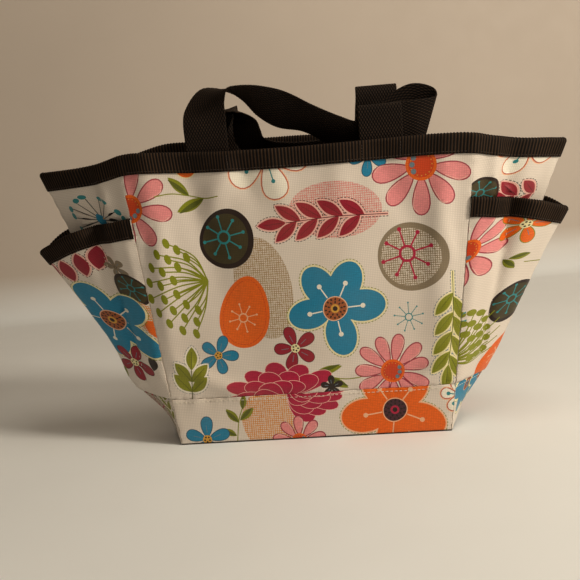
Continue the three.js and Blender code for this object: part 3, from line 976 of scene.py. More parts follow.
def canvas_finish():
    """Coated canvas: a printed plain weave under a soft gloss."""
    s = Shader("printed_canvas", Specular_IOR_Level=0.4, Coat_Weight=0.12, Coat_Roughness=0.32)
    ink = s.add("Attribute", attribute_name="ink", attribute_type="GEOMETRY")
    colour, code = ink.outputs["Color"], ink.outputs["Alpha"]
    cloth = s.cloth_map()
    warp = s.wave(cloth, "X", LINEN_STEP, 0.35, 2.0, 90.0)
    weft = s.wave(cloth, "Y", LINEN_STEP, 0.35, 2.0, 90.0)
    slub = s.span(s.noise(cloth, 420.0, 3.0, 0.7), 0.3, 0.7, -0.30, 0.20)
    threads = s.span(s.math("ADD", s.math("MAXIMUM", warp, weft), slub), 0.62, 0.86)
    bare = s.math("MULTIPLY", s.math("SUBTRACT", 1.0, threads), 0.85)
    linen = s.mix(bare, colour, paint(INKS["cream"][0]))
    colour = s.mix(s.math("COMPARE", code, LINEN, 0.1), colour, linen)
    brushed = s.add("Mapping", {"Vector": cloth, "Scale": (260.0, 900.0, 1.0),
                                "Rotation": (0, 0, 0.6)}).outputs[0]
    grain = s.span(s.noise(brushed, 1.0), 0.35, 0.7, 0.90, 1.07)
    colour = s.mix(s.math("COMPARE", code, STROKES, 0.1), colour, s.scaled(colour, grain))
    soil = s.span(s.noise(cloth, 9.0, 4.0, 0.55), 0.42, 0.75, 0.0, 0.16)
    weave = s.weave(cloth, "Y", WEAVE_STEP, 0.12, 1.0, 200.0)
    colour = s.scaled(s.mix(soil, colour, paint("#A98F6B")), s.span(weave, 0.0, 0.55, 0.87, 1.05))
    worn = s.span(s.noise(cloth, 55.0, 4.0, 0.6), 0.3, 0.7, 0.36, 0.50)
    rough = s.math("ADD", worn, s.span(weave, 0.0, 1.0, 0.05, -0.03))
    ripple = s.math("MULTIPLY", s.noise(cloth, 70.0, 3.0, 0.5), 0.5)
    return s.done(colour, rough, s.math("ADD", s.math("MULTIPLY", weave, 0.35), ripple), 0.55, 0.35 * MM)


def woven_finish(name, groove_shade, body, crest_wear_and_highlight, along, across=0.0):
    """Dark woven tape or webbing. Its map runs along the tape and then across it. Threads stand
    up as ribs, or as staggered beads where across is given, with painted shade in the grooves and paler crests,
    partly wear and partly painted highlight."""
    s = Shader(name, Specular_IOR_Level=0.16, Sheen_Weight=0.06, Sheen_Roughness=0.5,
               Sheen_Tint=linear("#7A604A"))
    cloth = s.cloth_map()
    own = s.own_space()
    beat = s.wave(cloth, "X", along)
    if across:
        side = s.wave(cloth, "Y", across)
        both = s.math("MULTIPLY", s.math("SUBTRACT", beat, 0.5), s.math("SUBTRACT", side, 0.5))
        beat = s.span(both, -0.16, 0.16)
    fibre = s.noise(own, 2400.0, 2.0, 0.6)
    wear = s.noise(own, 26.0, 4.0, 0.65)
    # The grooves between the threads are painted darker than the yarn: painted shade.
    deep = s.mix(s.span(beat, 0.1, 0.5), paint(groove_shade), paint(body))
    # The raised crests are painted paler where the wear noise rubs them: partly wear, partly painted highlight.
    worn = s.math("MULTIPLY", s.span(beat, 0.55, 0.95), s.span(wear, 0.35, 0.7, 0.45, 1.0))
    worn = s.math("MULTIPLY", worn, s.span(fibre, 0.25, 0.65, 0.6, 1.0))
    relief = s.math("ADD", beat, s.math("MULTIPLY", fibre, 0.4))
    return s.done(s.mix(worn, deep, paint(crest_wear_and_highlight)), s.span(fibre, 0.3, 0.7, 0.6, 0.85), relief, 0.8, 0.25 * MM)


def lining_finish():
    s = Shader("lining_cloth", Specular_IOR_Level=0.2, Sheen_Weight=0.05, Sheen_Roughness=0.5)
    own = s.own_space()
    taffeta = s.weave(own, "Z", 0.8 * MM, 0.3, 2.0, 60.0)
    folds = s.noise(own, 30.0, 4.0, 0.6)
    # The colour follows the folds' relief, darker in their hollows and paler on their ridges: painted shade and
    # highlight on the folds.
    colour = s.mix(s.span(folds, 0.3, 0.7), paint("#0C0705"), paint("#1E150F"))
    relief = s.math("ADD", s.math("MULTIPLY", taffeta, 0.3), folds)
    return s.done(colour, s.span(taffeta, 0.0, 1.0, 0.62, 0.5), relief, 0.4, 0.6 * MM)


def base_finish():
    s = Shader("base_cloth", Specular_IOR_Level=0.4)
    own = s.own_space()
    dirt = s.noise(own, 18.0, 5.0, 0.65)
    colour = s.mix(s.span(dirt, 0.35, 0.72), paint("#1B1410"), paint("#4A3D2F"))
    weave = s.weave(own, "Y", 1.2 * MM, 0.2, 2.0, 80.0)
    return s.done(colour, s.span(dirt, 0.3, 0.7, 0.5, 0.8), weave, 0.6, 0.3 * MM)


def board_finish():
    s = Shader("stiff_board", Specular_IOR_Level=0.4)
    own = s.own_space()
    fleck = s.noise(own, 1300.0, 3.0, 0.7)
    broad = s.span(s.noise(own, 40.0), 0.3, 0.8, 0.0, 0.3)
    colour = s.mix(s.span(fleck, 0.35, 0.7), paint("#2A2622"), paint("#4C463F"))
    stained = s.mix(broad, colour, paint("#221E1A"))
    return s.done(stained, s.span(fleck, 0.3, 0.7, 0.55, 0.75), fleck, 0.3, 0.3 * MM)


def thread_finish(name, shade):
    s = Shader(name, Specular_IOR_Level=0.35, Sheen_Weight=0.2)
    ply = s.noise(s.own_space(), 3000.0, 2.0, 0.6)
    dark = (*(0.7 * c for c in linear(shade)), 1.0)
    colour = s.mix(s.span(ply, 0.3, 0.7), paint(shade), dark)
    return s.done(colour, s.span(ply, 0.3, 0.7, 0.55, 0.75), ply, 0.5, 0.1 * MM)


CANVAS_LOOK = canvas_finish()
# Each look's first colour is painted shade in its grooves; its last is its crests' wear and painted highlight.
TAPE_LOOK = woven_finish("binding_tape", "#060302", "#1A110A", "#4C3826", RIB)
WEB_LOOK = woven_finish("handle_webbing", "#050201", "#120B06", "#3F2E20", BEAD_ALONG, BEAD_ACROSS)
LINING_LOOK = lining_finish()
BASE_LOOK = base_finish()
BOARD_LOOK = board_finish()
PALE_THREAD = thread_finish("pale_thread", "#E9E2D2")
DARK_THREAD = thread_finish("dark_thread", "#3A2A1E")

# ---- the print's layout


BLUE_FLOWER = ("turquoise", "navy line", "gold")
ORANGE_BLOOM = ("orange", "peach", "olive", "magenta", "peach")
DARK_BUTTON = ("brown", "dark linen", "teal")
PALE_BUTTON = ("taupe", "taupe linen", "magenta")
RED_LEAVES = ("burgundy", "pale pink", "brown", "deep burgundy")
GUSSET_SHEAR = 0.30
BAND_SHEAR = 0.1
SIDE_STRETCH = 1.22


def front_print():
    p = Print()
    p.fill(oval(40, 24), "pink linen", (32, 200), -3)
    p.fill(oval(25, 45), "beige linen", (-35, 137), 9)
    p.daisy((-148, 210), 39, 34, 8)
    p.stem([(-124, 219), (-109, 221), (-94, 219), (-80, 216.5), (-68, 218)],
           [((-94, 219), 137, 23, 8), ((-81, 216.5), 204, 27, 9)])
    p.fill(oval(10.5), "pale yellow", (-95, 244))
    p.fill(oval(9.6), "orange", (-95, 244))
    p.outline_flower((-24, 248), 36, -76)
    p.small_flower((63, 242), 17, -100, *BLUE_FLOWER)
    p.daisy((107, 231), 43, -92, 9)
    p.button((-64, 181), 25, *DARK_BUTTON, 12)
    p.branch((77, 193), (-11, 192), 4, 25, 9.5, *RED_LEAVES, -0.02, 37)
    p.button((96, 155), 30, *PALE_BUTTON, 15, (-0.16, 0.1))
    p.umbel((-84, 146), 56, 188)
    p.fill(egg(22, 32), "orange", (-53, 117), -12)
    p.dashes(grown(egg(22, 32), -3.2), "deep orange", (-53, 117), -12, 2.0, 0.8, 0.5)
    p.burst((-55, 112), 3.6, 12.5, "peach", "orange", 8, 12, 0.7)
    p.bloom((26, 116), [(2, 1.02), (64, 1.0), (122, 0.98), (189, 0.95), (279, 0.98)], 43)
    p.small_flower((-11, 83), 20, 108)
    p.burst((89, 103.5), 3.0, 12.5, "teal", "cream", 9, 10, 0.6)
    p.small_flower((-80, 80), 18, 68, *BLUE_FLOWER)
    p.stem([(-9, 59.5), (3, 59), (16, 56), (34, 53), (53, 55.5)],
           [((3, 59), 13, 26, 7), ((15, 56), -33, 21, 7)])
    p.daisy((72, 57), 34, 76, 11, width=0.36)
    p.branch((129.5, 141), (121, 60), 4, 25, 9, "olive", "pale yellow", "slate", "deep olive", 0.03, 33)
    p.sprig((-107, 40), 46, 86)
    p.fan_flower((-24, 38), 56, 112, 0.82, 0.6)
    p.small_flower((18, 47), 10, 90, "brown", "brown", "brown")
    return p


def front_band_print():
    p = Print()
    p.fill(oval(27, 30), "orange linen", (-37, 20))
    p.fan_flower((-22, 47), 54, -28, 0.5, 0.62)
    p.stem([(-70, 0), (-67, 20), (-62, 34)], [((-67, 18), 130, 17, 7), ((-66, 20), 40, 17, 7),
                                             ((-63, 30), 80, 14, 6), ((-70, 6), 150, 13, 6)])
    p.small_flower((-97, 4), 21, 88, *BLUE_FLOWER)
    p.daisy((-14, -2), 24, 90, 9)
    p.bloom((72, 22), [(50, 0.95), (122, 0.95), (188, 1.08), (262, 1.0), (336, 1.06)], 44,
            *ORANGE_BLOOM, "plum")
    p.outline_flower((128, 32), 15, 96)
    return p


def scatter_print(half, z_low, z_high, seed, beyond=-math.inf):
    """A loose all-over layout for the sides that carry no chosen one, kept past one line."""
    draw = np.random.default_rng(seed)
    p = Print()
    spots = []
    for size in (34, 30, 27, 24, 20, 16, 12, 9):
        for _ in range(60):
            z = draw.uniform(z_low, z_high)
            v = draw.uniform(-half(z), half(z))
            if all(math.hypot(v - a, z - b) > size + r + 2 for a, b, r in spots):
                spots.append((v, z, size))
                if sum(spot[2] == size for spot in spots) >= 3:
                    break
    for v, z, size in spots:
        turn = draw.uniform(0, 360)
        kind = int(draw.integers(0, 6))
        at = (v, z)
        if v - size < beyond:
            continue
        if size >= 30 and kind % 3 == 1:
            p.daisy(at, size, turn, 9)
        elif size >= 30:
            petals = [(turn + 72 * j, 1.0 - 0.05 * (j % 2)) for j in range(5)]
            p.bloom(at, petals, size, *(() if kind % 3 == 0 else ORANGE_BLOOM))
        elif size >= 20 and kind % 3 == 1:
            p.fill(oval(size * 0.95, size * 0.7), "pink linen", at, turn)
            reach = size * np.array(compass(turn))
            p.branch(at - reach, at + reach * 0.5, 3, size * 0.7, size * 0.28, *RED_LEAVES)
        elif size >= 20:
            p.button(at, size * 0.85, *(DARK_BUTTON if kind % 3 == 0 else PALE_BUTTON), turn)
        elif size >= 12:
            p.small_flower(at, size, turn, *(() if kind % 2 else BLUE_FLOWER))
        else:
            p.burst(at, 2.6, size, "teal" if kind % 2 else "magenta", "cream", 8, turn, 0.6)
    return p


def side_print(panel, z_low, z_high, seed, mirror=1):
    """A side panel's print, scattered on its back half and ready for chosen motifs in front."""
    p = Print(-GUSSET_SHEAR, mirror, SIDE_STRETCH)
    p.shapes = scatter_print(panel.half, z_low, z_high, seed, 0).shapes
    return p


def right_gusset_print(panel):
    p = side_print(panel, 60, 250, 5)
    p.outline_flower((-38, 249), 26, 262)
    p.branch((2, 207), (-44, 203), 2, 20, 8.5, *RED_LEAVES, 0.0, 40)
    p.button((-73, 204), 15, *DARK_BUTTON, 30)
    p.fill(oval(8, 5), "orange", (-8, 178))
    return p


def left_gusset_print(panel):
    p = side_print(panel, 60, 250, 8, -1)
    p.dandelion((-47, 206), 23, 90, 205, 9)
    for v, turn in ((-30, 60), (-46, 80), (-64, 62)):
        p.patch([(leaf(17, 9), (v, 240), turn)], "burgundy", "pale pink", "deep burgundy")
    return p


def right_pocket_print(panel):
    p = side_print(panel, 50, 190, 21)
    p.daisy((-97, 155), 36, 12, 9)
    p.small_flower((-46, 180), 20, 20, "orange", "olive", "pale yellow")
    p.stem([(-60, 146), (-44, 148), (-30, 146)], [((-46, 148), 24, 16, 6), ((-50, 147), -30, 14, 6)])
    p.button((-22, 110), 19, *DARK_BUTTON, 18)
    p.fill(egg(16, 24), "orange", (-7, 62), -18)
    p.burst((-7, 60), 3, 10, "peach", "orange", 8, 10, 0.7)
    p.umbel((-72, 62), 44, 62)
    p.burst((-84, 96), 2.8, 11, "teal", "cream", 8, 5, 0.6)
    return p


def left_pocket_print(panel):
    p = side_print(panel, 50, 190, 34, -1)
    for v, z, turn in ((-4, 166, 62), (-23, 160, 72), (-40, 161, 66), (-54, 164, 56)):
        p.patch([(leaf(25, 10.5), (v, z), turn)], "burgundy", "pale pink", "deep burgundy")
    p.small_flower((-74, 163), 11, 20, "taupe", "taupe", "taupe")
    p.button((-78, 142), 15, *DARK_BUTTON, 0)
    p.fill(oval(13, 24), "orange linen", (-84, 110), 14)
    p.fill(oval(8, 12), "orange", (-84, 102), 14)
    p.fill(leaf(17, 8), "brown", (-57, 68), 60)
    p.bloom((-34, 116), [(18, 1), (88, 1), (160, 0.96), (232, 1), (304, 0.98)], 42)
    p.small_flower((-33, 74), 19, 46)
    p.stem([(-2, 92), (-6, 72), (-3, 52)], [((-6, 76), 152, 20, 8), ((-3, 56), 44, 18, 8)])
    return p


def right_band_print():
    p = Print(-BAND_SHEAR)
    for at, reach in (((-30, 37), 24), ((-6, 40), 18)):
        p.bloom(at, [(250, 1.0), (310, 0.98), (190, 1)], reach, core="turquoise", stamens="turquoise")
    p.daisy((34, 22), 20, 30, 9)
    return p


def left_band_print():
    p = Print(-BAND_SHEAR, -1)
    p.button((-15, 24), 24, *PALE_BUTTON, 22)
    p.branch((-46, 14), (-44, 44), 3, 12, 5, "olive", "cream", "brown", "deep olive")
    p.small_flower((30, 26), 16, 10, *BLUE_FLOWER)
    return p


# ---- canvas pieces

PANELS = {side: Panel(surface) for side, surface in WALLS.items()}
BAND_PANELS = {side: Panel(surface) for side, surface in BANDS.items()}
POCKET_PANELS = {side: Panel(surface) for side, surface in POCKETS.items()}

UNDER_TAPE = (1, 1, 0)
POCKET_SEAMS = (1, 0.6, 0)
ALL_SEAMS = (1, 0.4, 1)
PRINTS = {
    "front_panel": front_print(),
    "back_panel": scatter_print(PANELS["back"].half, 48, 250, 3),
    "right_gusset": right_gusset_print(PANELS["right"]),
    "left_gusset": left_gusset_print(PANELS["left"]),
    "right_pocket": right_pocket_print(POCKET_PANELS["right"]),
    "left_pocket": left_pocket_print(POCKET_PANELS["left"]),
    "front_band": front_band_print(),
    "back_band": scatter_print(BAND_PANELS["back"].half, 2, 42, 17),
    "right_band": right_band_print(),
    "left_band": left_band_print(),
}
for node, drawing in PRINTS.items():
    side, part = node.split("_")
    panel, tuck, holder = {
        "pocket": (POCKET_PANELS.get(side), POCKET_SEAMS, f"{side}_gusset"),
        "band": (BAND_PANELS[side], ALL_SEAMS, "base_panel"),
    }.get(part, (PANELS[side], UNDER_TAPE, "mouth_binding"))
    piece = cloth_piece(f"{node}_canvas", panel, drawing, tuck)
    stand_in(piece, node)
    cut_sheet(panel)

# ---- grids with thickness


def grid_faces(rows, cols, close_rows=False, close_cols=False):
    faces = []
    for r in range(rows if close_rows else rows - 1):
        for c in range(cols if close_cols else cols - 1):
            r2, c2 = (r + 1) % rows, (c + 1) % cols
            faces.append((r * cols + c, r * cols + c2, r2 * cols + c2, r2 * cols + c))
    return faces


def swept(name, sections, material, run, side, body="root", closed=False):
    """A closed skin through a row of closed sections, capped unless the row closes on itself.
    run and side are its cloth map: how far along each section lies, and across each point."""
    sections = np.array(sections)
    rows, cols = sections.shape[:2]
    faces = grid_faces(rows, cols, closed, True)
    step = run[-1] - run[-2]
    far = np.append(run, run[-1] + step)
    wide = np.append(side, side[-1])
    uv = []
    for r in range(rows if closed else rows - 1):
        for c in range(cols):
            uv += [(far[r], wide[c]), (far[r], wide[c + 1]), (far[r + 1], wide[c + 1]), (far[r + 1], wide[c])]
    if not closed:
        faces += [tuple(range(cols))[::-1], tuple((rows - 1) * cols + k for k in range(cols))]
        uv += [(run[0], s) for s in side[::-1]] + [(run[-1], s) for s in side]
    return outward(make_piece(name, sections.reshape(-1, 3), faces, material, body, uv))


def outward(piece):
    """Turns a closed piece's faces out."""
    mesh = bmesh.new()
    mesh.from_mesh(piece.data)
    bmesh.ops.recalc_face_normals(mesh, faces=mesh.faces)
    mesh.to_mesh(piece.data)
    mesh.free()
    return piece


def thick_sheet(name, outer, inner, material):
    """A closed sheet between two grids of points."""
    rows, cols = outer.shape[:2]
    count = rows * cols
    grid = grid_faces(rows, cols)
    ring = list(range(cols)) + [r * cols + cols - 1 for r in range(1, rows)]
    ring += [(rows - 1) * cols + c for c in range(cols - 2, -1, -1)]
    ring += [r * cols for r in range(rows - 2, 0, -1)]
    faces = grid + [tuple(i + count for i in face[::-1]) for face in grid]
    faces += [(b, a, a + count, b + count) for a, b in zip(ring, ring[1:] + ring[:1])]
    points = np.concatenate([outer.reshape(-1, 3), inner.reshape(-1, 3)])
    return outward(make_piece(name, points, faces, material))


# ---- edge tapes

RIB_HIGH = 0.28 * MM
TAPE_STEP = 0.4 * MM
RIM_BEHIND = 3.5 * MM
POCKET_BEHIND = 2.5 * MM
RIM_BLUR = 6
POCKET_BLUR = 5
CRIMP_REACH = 0.03


def tape_section(drop, inn):
    """The folded tape's section: (down from the edge, out from the cloth's face, how much it ribs)."""
    out = TAPE_OUT
    s = [(drop, out - 0.35 * MM, 0.3), (drop * 0.96, out, 0.9), (drop * 0.88, out - 0.15 * MM, 0.55),
         (drop * 0.8, out, 1), (drop * 0.62, out, 1), (drop * 0.42, out, 1), (drop * 0.22, out, 1),
         (drop * 0.06, out, 1), (-0.8 * MM, out * 0.55, 1), (-1.35 * MM, -0.4 * MM, 1)]
    s += [(-1.35 * MM, -inn + 1.0 * MM, 1), (-0.8 * MM, -inn + 0.3 * MM, 1), (drop * 0.08, -inn, 1),
          (drop * 0.35, -inn, 1), (drop * 0.7, -inn, 1), (drop, -inn + 0.2 * MM, 0.3)]
    skin = inn - TAPE
    s += [(drop, -skin, 0), (drop * 0.4, -skin, 0), (0.2 * MM, -skin, 0), (-0.25 * MM, -skin / 2, 0),
          (0.2 * MM, 0.2 * MM, 0), (drop * 0.4, 0.25 * MM, 0), (drop, 0.25 * MM, 0)]
    return s


def tape_points(stations, section, blur, closed, crimps=()):
    """Points of a folded tape. stations are (surface, share) in order round the edge."""
    count = len(stations)
    surfaces = {id(surface): surface for surface, _ in stations}
    owner = np.array([id(surface) for surface, _ in stations])
    shares = np.array([share for _, share in stations])
    rows = np.zeros((len(section), count, 3))
    for row, (drop, out, _) in zip(rows, section):
        for key, surface in surfaces.items():
            span = surface.z_high - float(surface.z_low(0.0))
            row[owner == key] = surface.offset(shares[owner == key], 1 - max(drop, 0) / span, out)
        row[:, 2] -= min(drop, 0)
    kernel = np.exp(-(np.arange(-3 * blur, 3 * blur + 1) / blur) ** 2 / 2)
    kernel /= kernel.sum()
    padded = np.pad(rows, ((0, 0), (3 * blur, 3 * blur), (0, 0)), mode="wrap" if closed else "edge")
    smooth = np.apply_along_axis(lambda line: np.convolve(line, kernel, "valid"), 1, padded)
    if not closed:
        fade = np.clip(np.minimum(np.arange(count), np.arange(count)[::-1]) / (3 * blur), 0, 1)[None, :, None]
        smooth = lerp(rows, smooth, fade)
    run = distances(smooth[:10].mean(0))
    centre = smooth.mean(0)
    tight = sum([np.exp(-((shares - c) / CRIMP_REACH) ** 2) for c in crimps], np.zeros(count))
    pace = 1 + 0.06 * np.sin(run / (31 * MM)) + 0.05 * np.sin(run / (13 * MM) + 1) + 0.6 * tight
    ribs = np.concatenate([[0], np.cumsum(np.diff(run) * pace[1:])])
    if closed:
        ribs *= round(ribs[-1] / RIB) * RIB / ribs[-1]
    lift = RIB_HIGH * (1 + 0.8 * tight) * np.cos(TAU * ribs / RIB)
    for k, (_, _, rib) in enumerate(section):
        if rib == 0:
            continue
        below = smooth[min(k + 1, len(section) - 1)] - smooth[max(k - 1, 0)]
        normal = unit(np.cross(np.gradient(smooth[k], axis=0), below))
        normal *= np.sign(np.sum(normal * (smooth[k] - centre), axis=1, keepdims=True))
        smooth[k] += normal * (lift * rib)[:, None]
    return smooth.transpose(1, 0, 2), ribs


def edge_tape(name, node, path, drop, behind, blur, closed=False, crimps=()):
    """A tape folded over an edge, reaching drop below it and behind the cloth's face."""
    section = tape_section(drop, behind)
    points, ribs = tape_points(path, section, blur, closed, crimps)
    round_it = distances(np.array(section)[:, :2])
    stand_in(swept(name, points, TAPE_LOOK, ribs, round_it, closed=closed), node)


def walk(surface, length, reverse=False):
    count = max(2, int(length / TAPE_STEP))
    share = np.linspace(0, 1, count, endpoint=False) + 0.5 / count
    share = share[::-1] if reverse else share
    return [(surface, float(q)) for q in share]


rim = walk(WALLS["front"], 2 * MOUTH_W)
rim += walk(WALLS["right"], 2 * PANELS["right"].lengths[-1])
rim += walk(WALLS["back"], 2 * MOUTH_W)
rim += walk(WALLS["left"], 2 * PANELS["left"].lengths[-1], True)
edge_tape("mouth_binding_tape", "mouth_binding", rim, RIM_TAPE, RIM_BEHIND, RIM_BLUR, True)
for side, panel in POCKET_PANELS.items():
    edge_tape(f"{side}_pocket_tape", f"{side}_pocket_binding", walk(POCKETS[side], 2 * panel.lengths[-1]),
              POCKET_TAPE, POCKET_BEHIND, POCKET_BLUR, crimps=(POCKET_DIVIDER, 1 - POCKET_DIVIDER))

# ---- stitches


# How far apart stitches are, how long and how thick, in metres.
CLOTH_STITCH = (4.0 * MM, 3.0 * MM, 0.24 * MM)
TAPE_STITCH = (3.2 * MM, 2.3 * MM, 0.2 * MM)
TACK_STITCH = (2.4 * MM, 1.9 * MM, 0.24 * MM)
RING = 6
SEAM_STITCH_DROP = 3.0 * MM
ON_CLOTH = 0.02 * MM
ON_DIVIDER = 0.05 * MM
ON_TAPE = TAPE_OUT + 0.1 * MM
ON_TACK = TAPE_OUT + 0.15 * MM


def stitches(name, line, material, size):
    """Short arched threads along a line on the cloth, given as points and normals."""
    pitch, length, radius = size
    points, normals = line
    run = distances(points)
    verts, faces = [], []
    profile = [(0.0, 0.25, -0.9), (0.14, 0.85, 0.1), (0.5, 1.0, 0.55), (0.86, 0.85, 0.1), (1.0, 0.25, -0.9)]
    for start in np.arange(pitch * 0.3, run[-1] - length, pitch):
        base = len(verts)
        for share, swell, rise in profile:
            at = start + share * length
            p = resample(at, run, points)
            n = unit(resample(at, run, normals))
            ahead = resample(at + 0.1 * MM, run, points) - p
            ahead = unit(ahead if np.linalg.norm(ahead) > 1e-9 else points[-1] - points[-2])
            beside = np.cross(ahead, n) * radius * swell * 1.2
            for k in range(RING):
                c, d = compass(360 * k / RING)
                verts.append(p + n * (rise * radius + d * radius * swell) + beside * c)
        faces += [tuple(base + i for i in face) for face in grid_faces(len(profile), RING, False, True)]
        last = base + (len(profile) - 1) * RING
        faces += [tuple(range(base, base + RING))[::-1], tuple(range(last, last + RING))]
    outward(make_piece(name, verts, faces, material))


def line_on(surface, shares, ups, out, count=400):
    """Points and normals on a straight line over a surface, a little out from it."""
    p, n = surface.frame_at(np.linspace(*shares, count), np.linspace(*ups, count))
    return p + n * out, n


def tape_line(surface, drop, span):
    """The line of stitches near the lower edge of a tape that reaches drop down."""
    level = 1 - drop * 0.88 / span
    return line_on(surface, (0.02, 0.98), (level, level), ON_TAPE)


for side in ("front", "back", "right", "left"):
    level = 1 - SEAM_STITCH_DROP / (BAND - BAND_FOOT)
    line = line_on(BANDS[side], (0.006, 0.994), (level, level), ON_CLOTH)
    stitches(f"{side}_band_seam_thread", line, PALE_THREAD, CLOTH_STITCH)
    stitches(f"{side}_rim_tape_thread", tape_line(WALLS[side], RIM_TAPE, HEIGHT - BAND), DARK_THREAD,
             TAPE_STITCH)
for side in ("right", "left"):
    span = POCKET_TOP - POCKET_LOW
    stitches(f"{side}_pocket_tape_thread", tape_line(POCKETS[side], POCKET_TAPE, span), DARK_THREAD,
             TAPE_STITCH)
    for place, share in (("front", POCKET_DIVIDER), ("back", 1 - POCKET_DIVIDER)):
        top = 1 - (POCKET_TAPE + 0.5 * MM) / span
        line = line_on(POCKETS[side], (share, share), (0.04, top), ON_DIVIDER, 200)
        stitches(f"{side}_pocket_{place}_divider_thread", line, PALE_THREAD, CLOTH_STITCH)
for side in ("front", "back"):
    for k, x in enumerate((-TAB_X - 16 * MM, -TAB_X + 17 * MM, TAB_X - 17 * MM, TAB_X + 16 * MM)):
        share = 0.5 + x / (2 * MOUTH_W)
        foot = 1 - RIM_TAPE * 0.9 / (HEIGHT - BAND)
        line = line_on(WALLS[side], (share, share), (foot, 0.995), ON_TACK, 40)
        stitches(f"{side}_handle_tack_{k + 1}", line, DARK_THREAD, TACK_STITCH)

# ---- handles

# Each strap's path in millimetres: its middle, and half its width as an arrow across it.
FRONT_LOOP = [
    [(-75, -34.4, 269.2), (19, 0, 0)], [(-75, -34.8, 284), (19, 0, 0)], [(-73.5, -34, 298), (18, -6, 1)],
    [(-66, -31, 308), (12, -14, -5)], [(-54, -27, 310), (3, -18.8, 0)], [(-42, -25, 306.5), (2, -18, 5)],
    [(-27, -23.5, 298), (4, -14, 12)], [(-10, -23, 290), (5, -11, 15)], [(12, -22.5, 281), (5, -14, 10.5)],
    [(34, -21, 269), (6, -12.5, 10)], [(50, -18.5, 260), (5, -10.5, 14.7)],
    [(67, -16.5, 260.5), (-5, -3, 18.1)], [(82, -13, 268.5), (-12, -1, 14.5)],
    [(96.5, -11.5, 280.5), (-11, 0, 15.5)], [(109, -12, 285), (-4, 0, 18.5)],
    [(118, -15.5, 280), (5, 0, 18.3)],
    [(118, -22, 273), (6, 0, 18)], [(108.5, -26, 270.5), (3, 0, 18.7)], [(97, -26.5, 269.5), (-1, 0, 19)],
    [(84, -26.5, 271.5), (9, 0, 16.5)], [(76.5, -27, 280), (17, 0, 8)], [(75, -29.5, 286.5), (19, 0, 1)],
    [(75, -33.2, 285.5), (19, 0, 0)], [(75, -34.4, 278), (19, 0, 0)], [(75, -34.4, 269.2), (19, 0, 0)],
]
BACK_LOOP = [
    [(75, 34.4, 269.2), (19, 0, 0)], [(75, 34.4, 285), (19, 0, 0)], [(75, 33, 300), (19, 0, 0)],
    [(75, 28.5, 306.5), (19, 0, 0)], [(75, 22.5, 303), (19, 0, 0)], [(74, 20.5, 290), (19, 0, 0)],
    [(70, 21, 272), (17.5, -5, 5)], [(58, 21.5, 258), (12, -9, 11.5)], [(38, 20.5, 249), (3, -10.5, 15.3)],
    [(12, 19, 247), (0, -12, 14.7)], [(-12, 18, 249), (1, -13, 13.8)], [(-27, 16.5, 253.5), (4, -14.5, 11.5)],
    [(-39, 16, 261), (10, -14.3, 7.5)], [(-44.5, 16.5, 271), (13.5, -12.8, 4)],
    [(-47, 17.5, 282), (12.5, -14, 2)], [(-51.5, 19.5, 292.5), (6, -18, -2)],
    [(-59, 22.5, 296.5), (-4, -18, -3)], [(-66.5, 27, 292), (-11.5, -15, 1.5)],
    [(-72.5, 31.5, 283), (-17, -8, 3)], [(-74.8, 33.8, 275), (-18.9, -1.5, 1)],
    [(-75, 34.4, 269.2), (-19, 0, 0)],
]
BEAD_HIGH = 0.28 * MM
STRAP_STEP = 0.65 * MM
TAB_FOOT = TAB_LOW / MM
CUT_HEIGHT = 282.5 * MM


def hermite(x0, x1, x2, x3, d0, d1, d2, f):
    t1 = ((x1 - x0) / d0 - (x2 - x0) / (d0 + d1) + (x2 - x1) / d1) * d1
    t2 = ((x2 - x1) / d1 - (x3 - x1) / (d1 + d2) + (x3 - x2) / d2) * d1
    return x1 + t1 * f + (3 * (x2 - x1) - 2 * t1 - t2) * f ** 2 + (2 * (x1 - x2) + t1 + t2) * f ** 3


def strap_frames(stations):
    """Evenly spaced (middle, arrow) along the stations' smooth path, in metres."""
    middles = np.array([m for m, _ in stations], float)
    arrows = np.array([a for _, a in stations], float)
    ends = [2 * middles[0] - middles[1], *middles, 2 * middles[-1] - middles[-2]]
    turns = [2 * arrows[0] - arrows[1], *arrows, 2 * arrows[-1] - arrows[-2]]
    out_m, out_a = [], []
    for k in range(1, len(middles)):
        p = ends[k - 1:k + 3]
        d = [max(np.linalg.norm(p[i + 1] - p[i]) ** 0.5, 1e-3) for i in range(3)]
        for f in np.linspace(0, 1, 60, endpoint=False):
            out_m.append(hermite(*p, *d, f))
            out_a.append(spline(*turns[k - 1:k + 3], f))
    out_m.append(middles[-1])
    out_a.append(arrows[-1])
    m, a = np.array(out_m) * MM, np.array(out_a)
    run = distances(m)
    even = np.linspace(0, run[-1], int(run[-1] / STRAP_STEP))
    return resample(even, run, m), unit(resample(even, run, a)), even


def strap_sections(m, a, run):
    """Closed sections of woven webbing: rounded edges and raised threads on both faces."""
    face = unit(np.cross(unit(np.gradient(m, axis=0)), a))
    cols = int(WEB_W / STRAP_STEP)
    across = np.linspace(-1, 1, cols)
    half, thick = WEB_W / 2 - 0.3 * MM, WEB_T / 2
    edge_round = np.sqrt(np.clip(1 - (np.abs(across) - 0.955).clip(0) ** 2 / 0.045 ** 2, 0.12, 1))
    rows = []
    for k in range(len(m)):
        u = across * half
        weave = np.cos(TAU * u / BEAD_ACROSS) * math.cos(TAU * run[k] / BEAD_ALONG)
        rib = math.cos(TAU * run[k] / (BEAD_ALONG / 2))
        bead = BEAD_HIGH * np.where(np.abs(across) < 0.93, weave, 0.5 * rib)
        top = thick * edge_round - 0.1 * MM + bead
        base = m[k][None] + a[k][None] * u[:, None]
        upper = base + face[k][None] * top[:, None]
        lower = base - face[k][None] * top[:, None]
        rows.append(np.concatenate([upper, lower[::-1]]))
    return rows, np.concatenate([across, across[::-1]]) * half


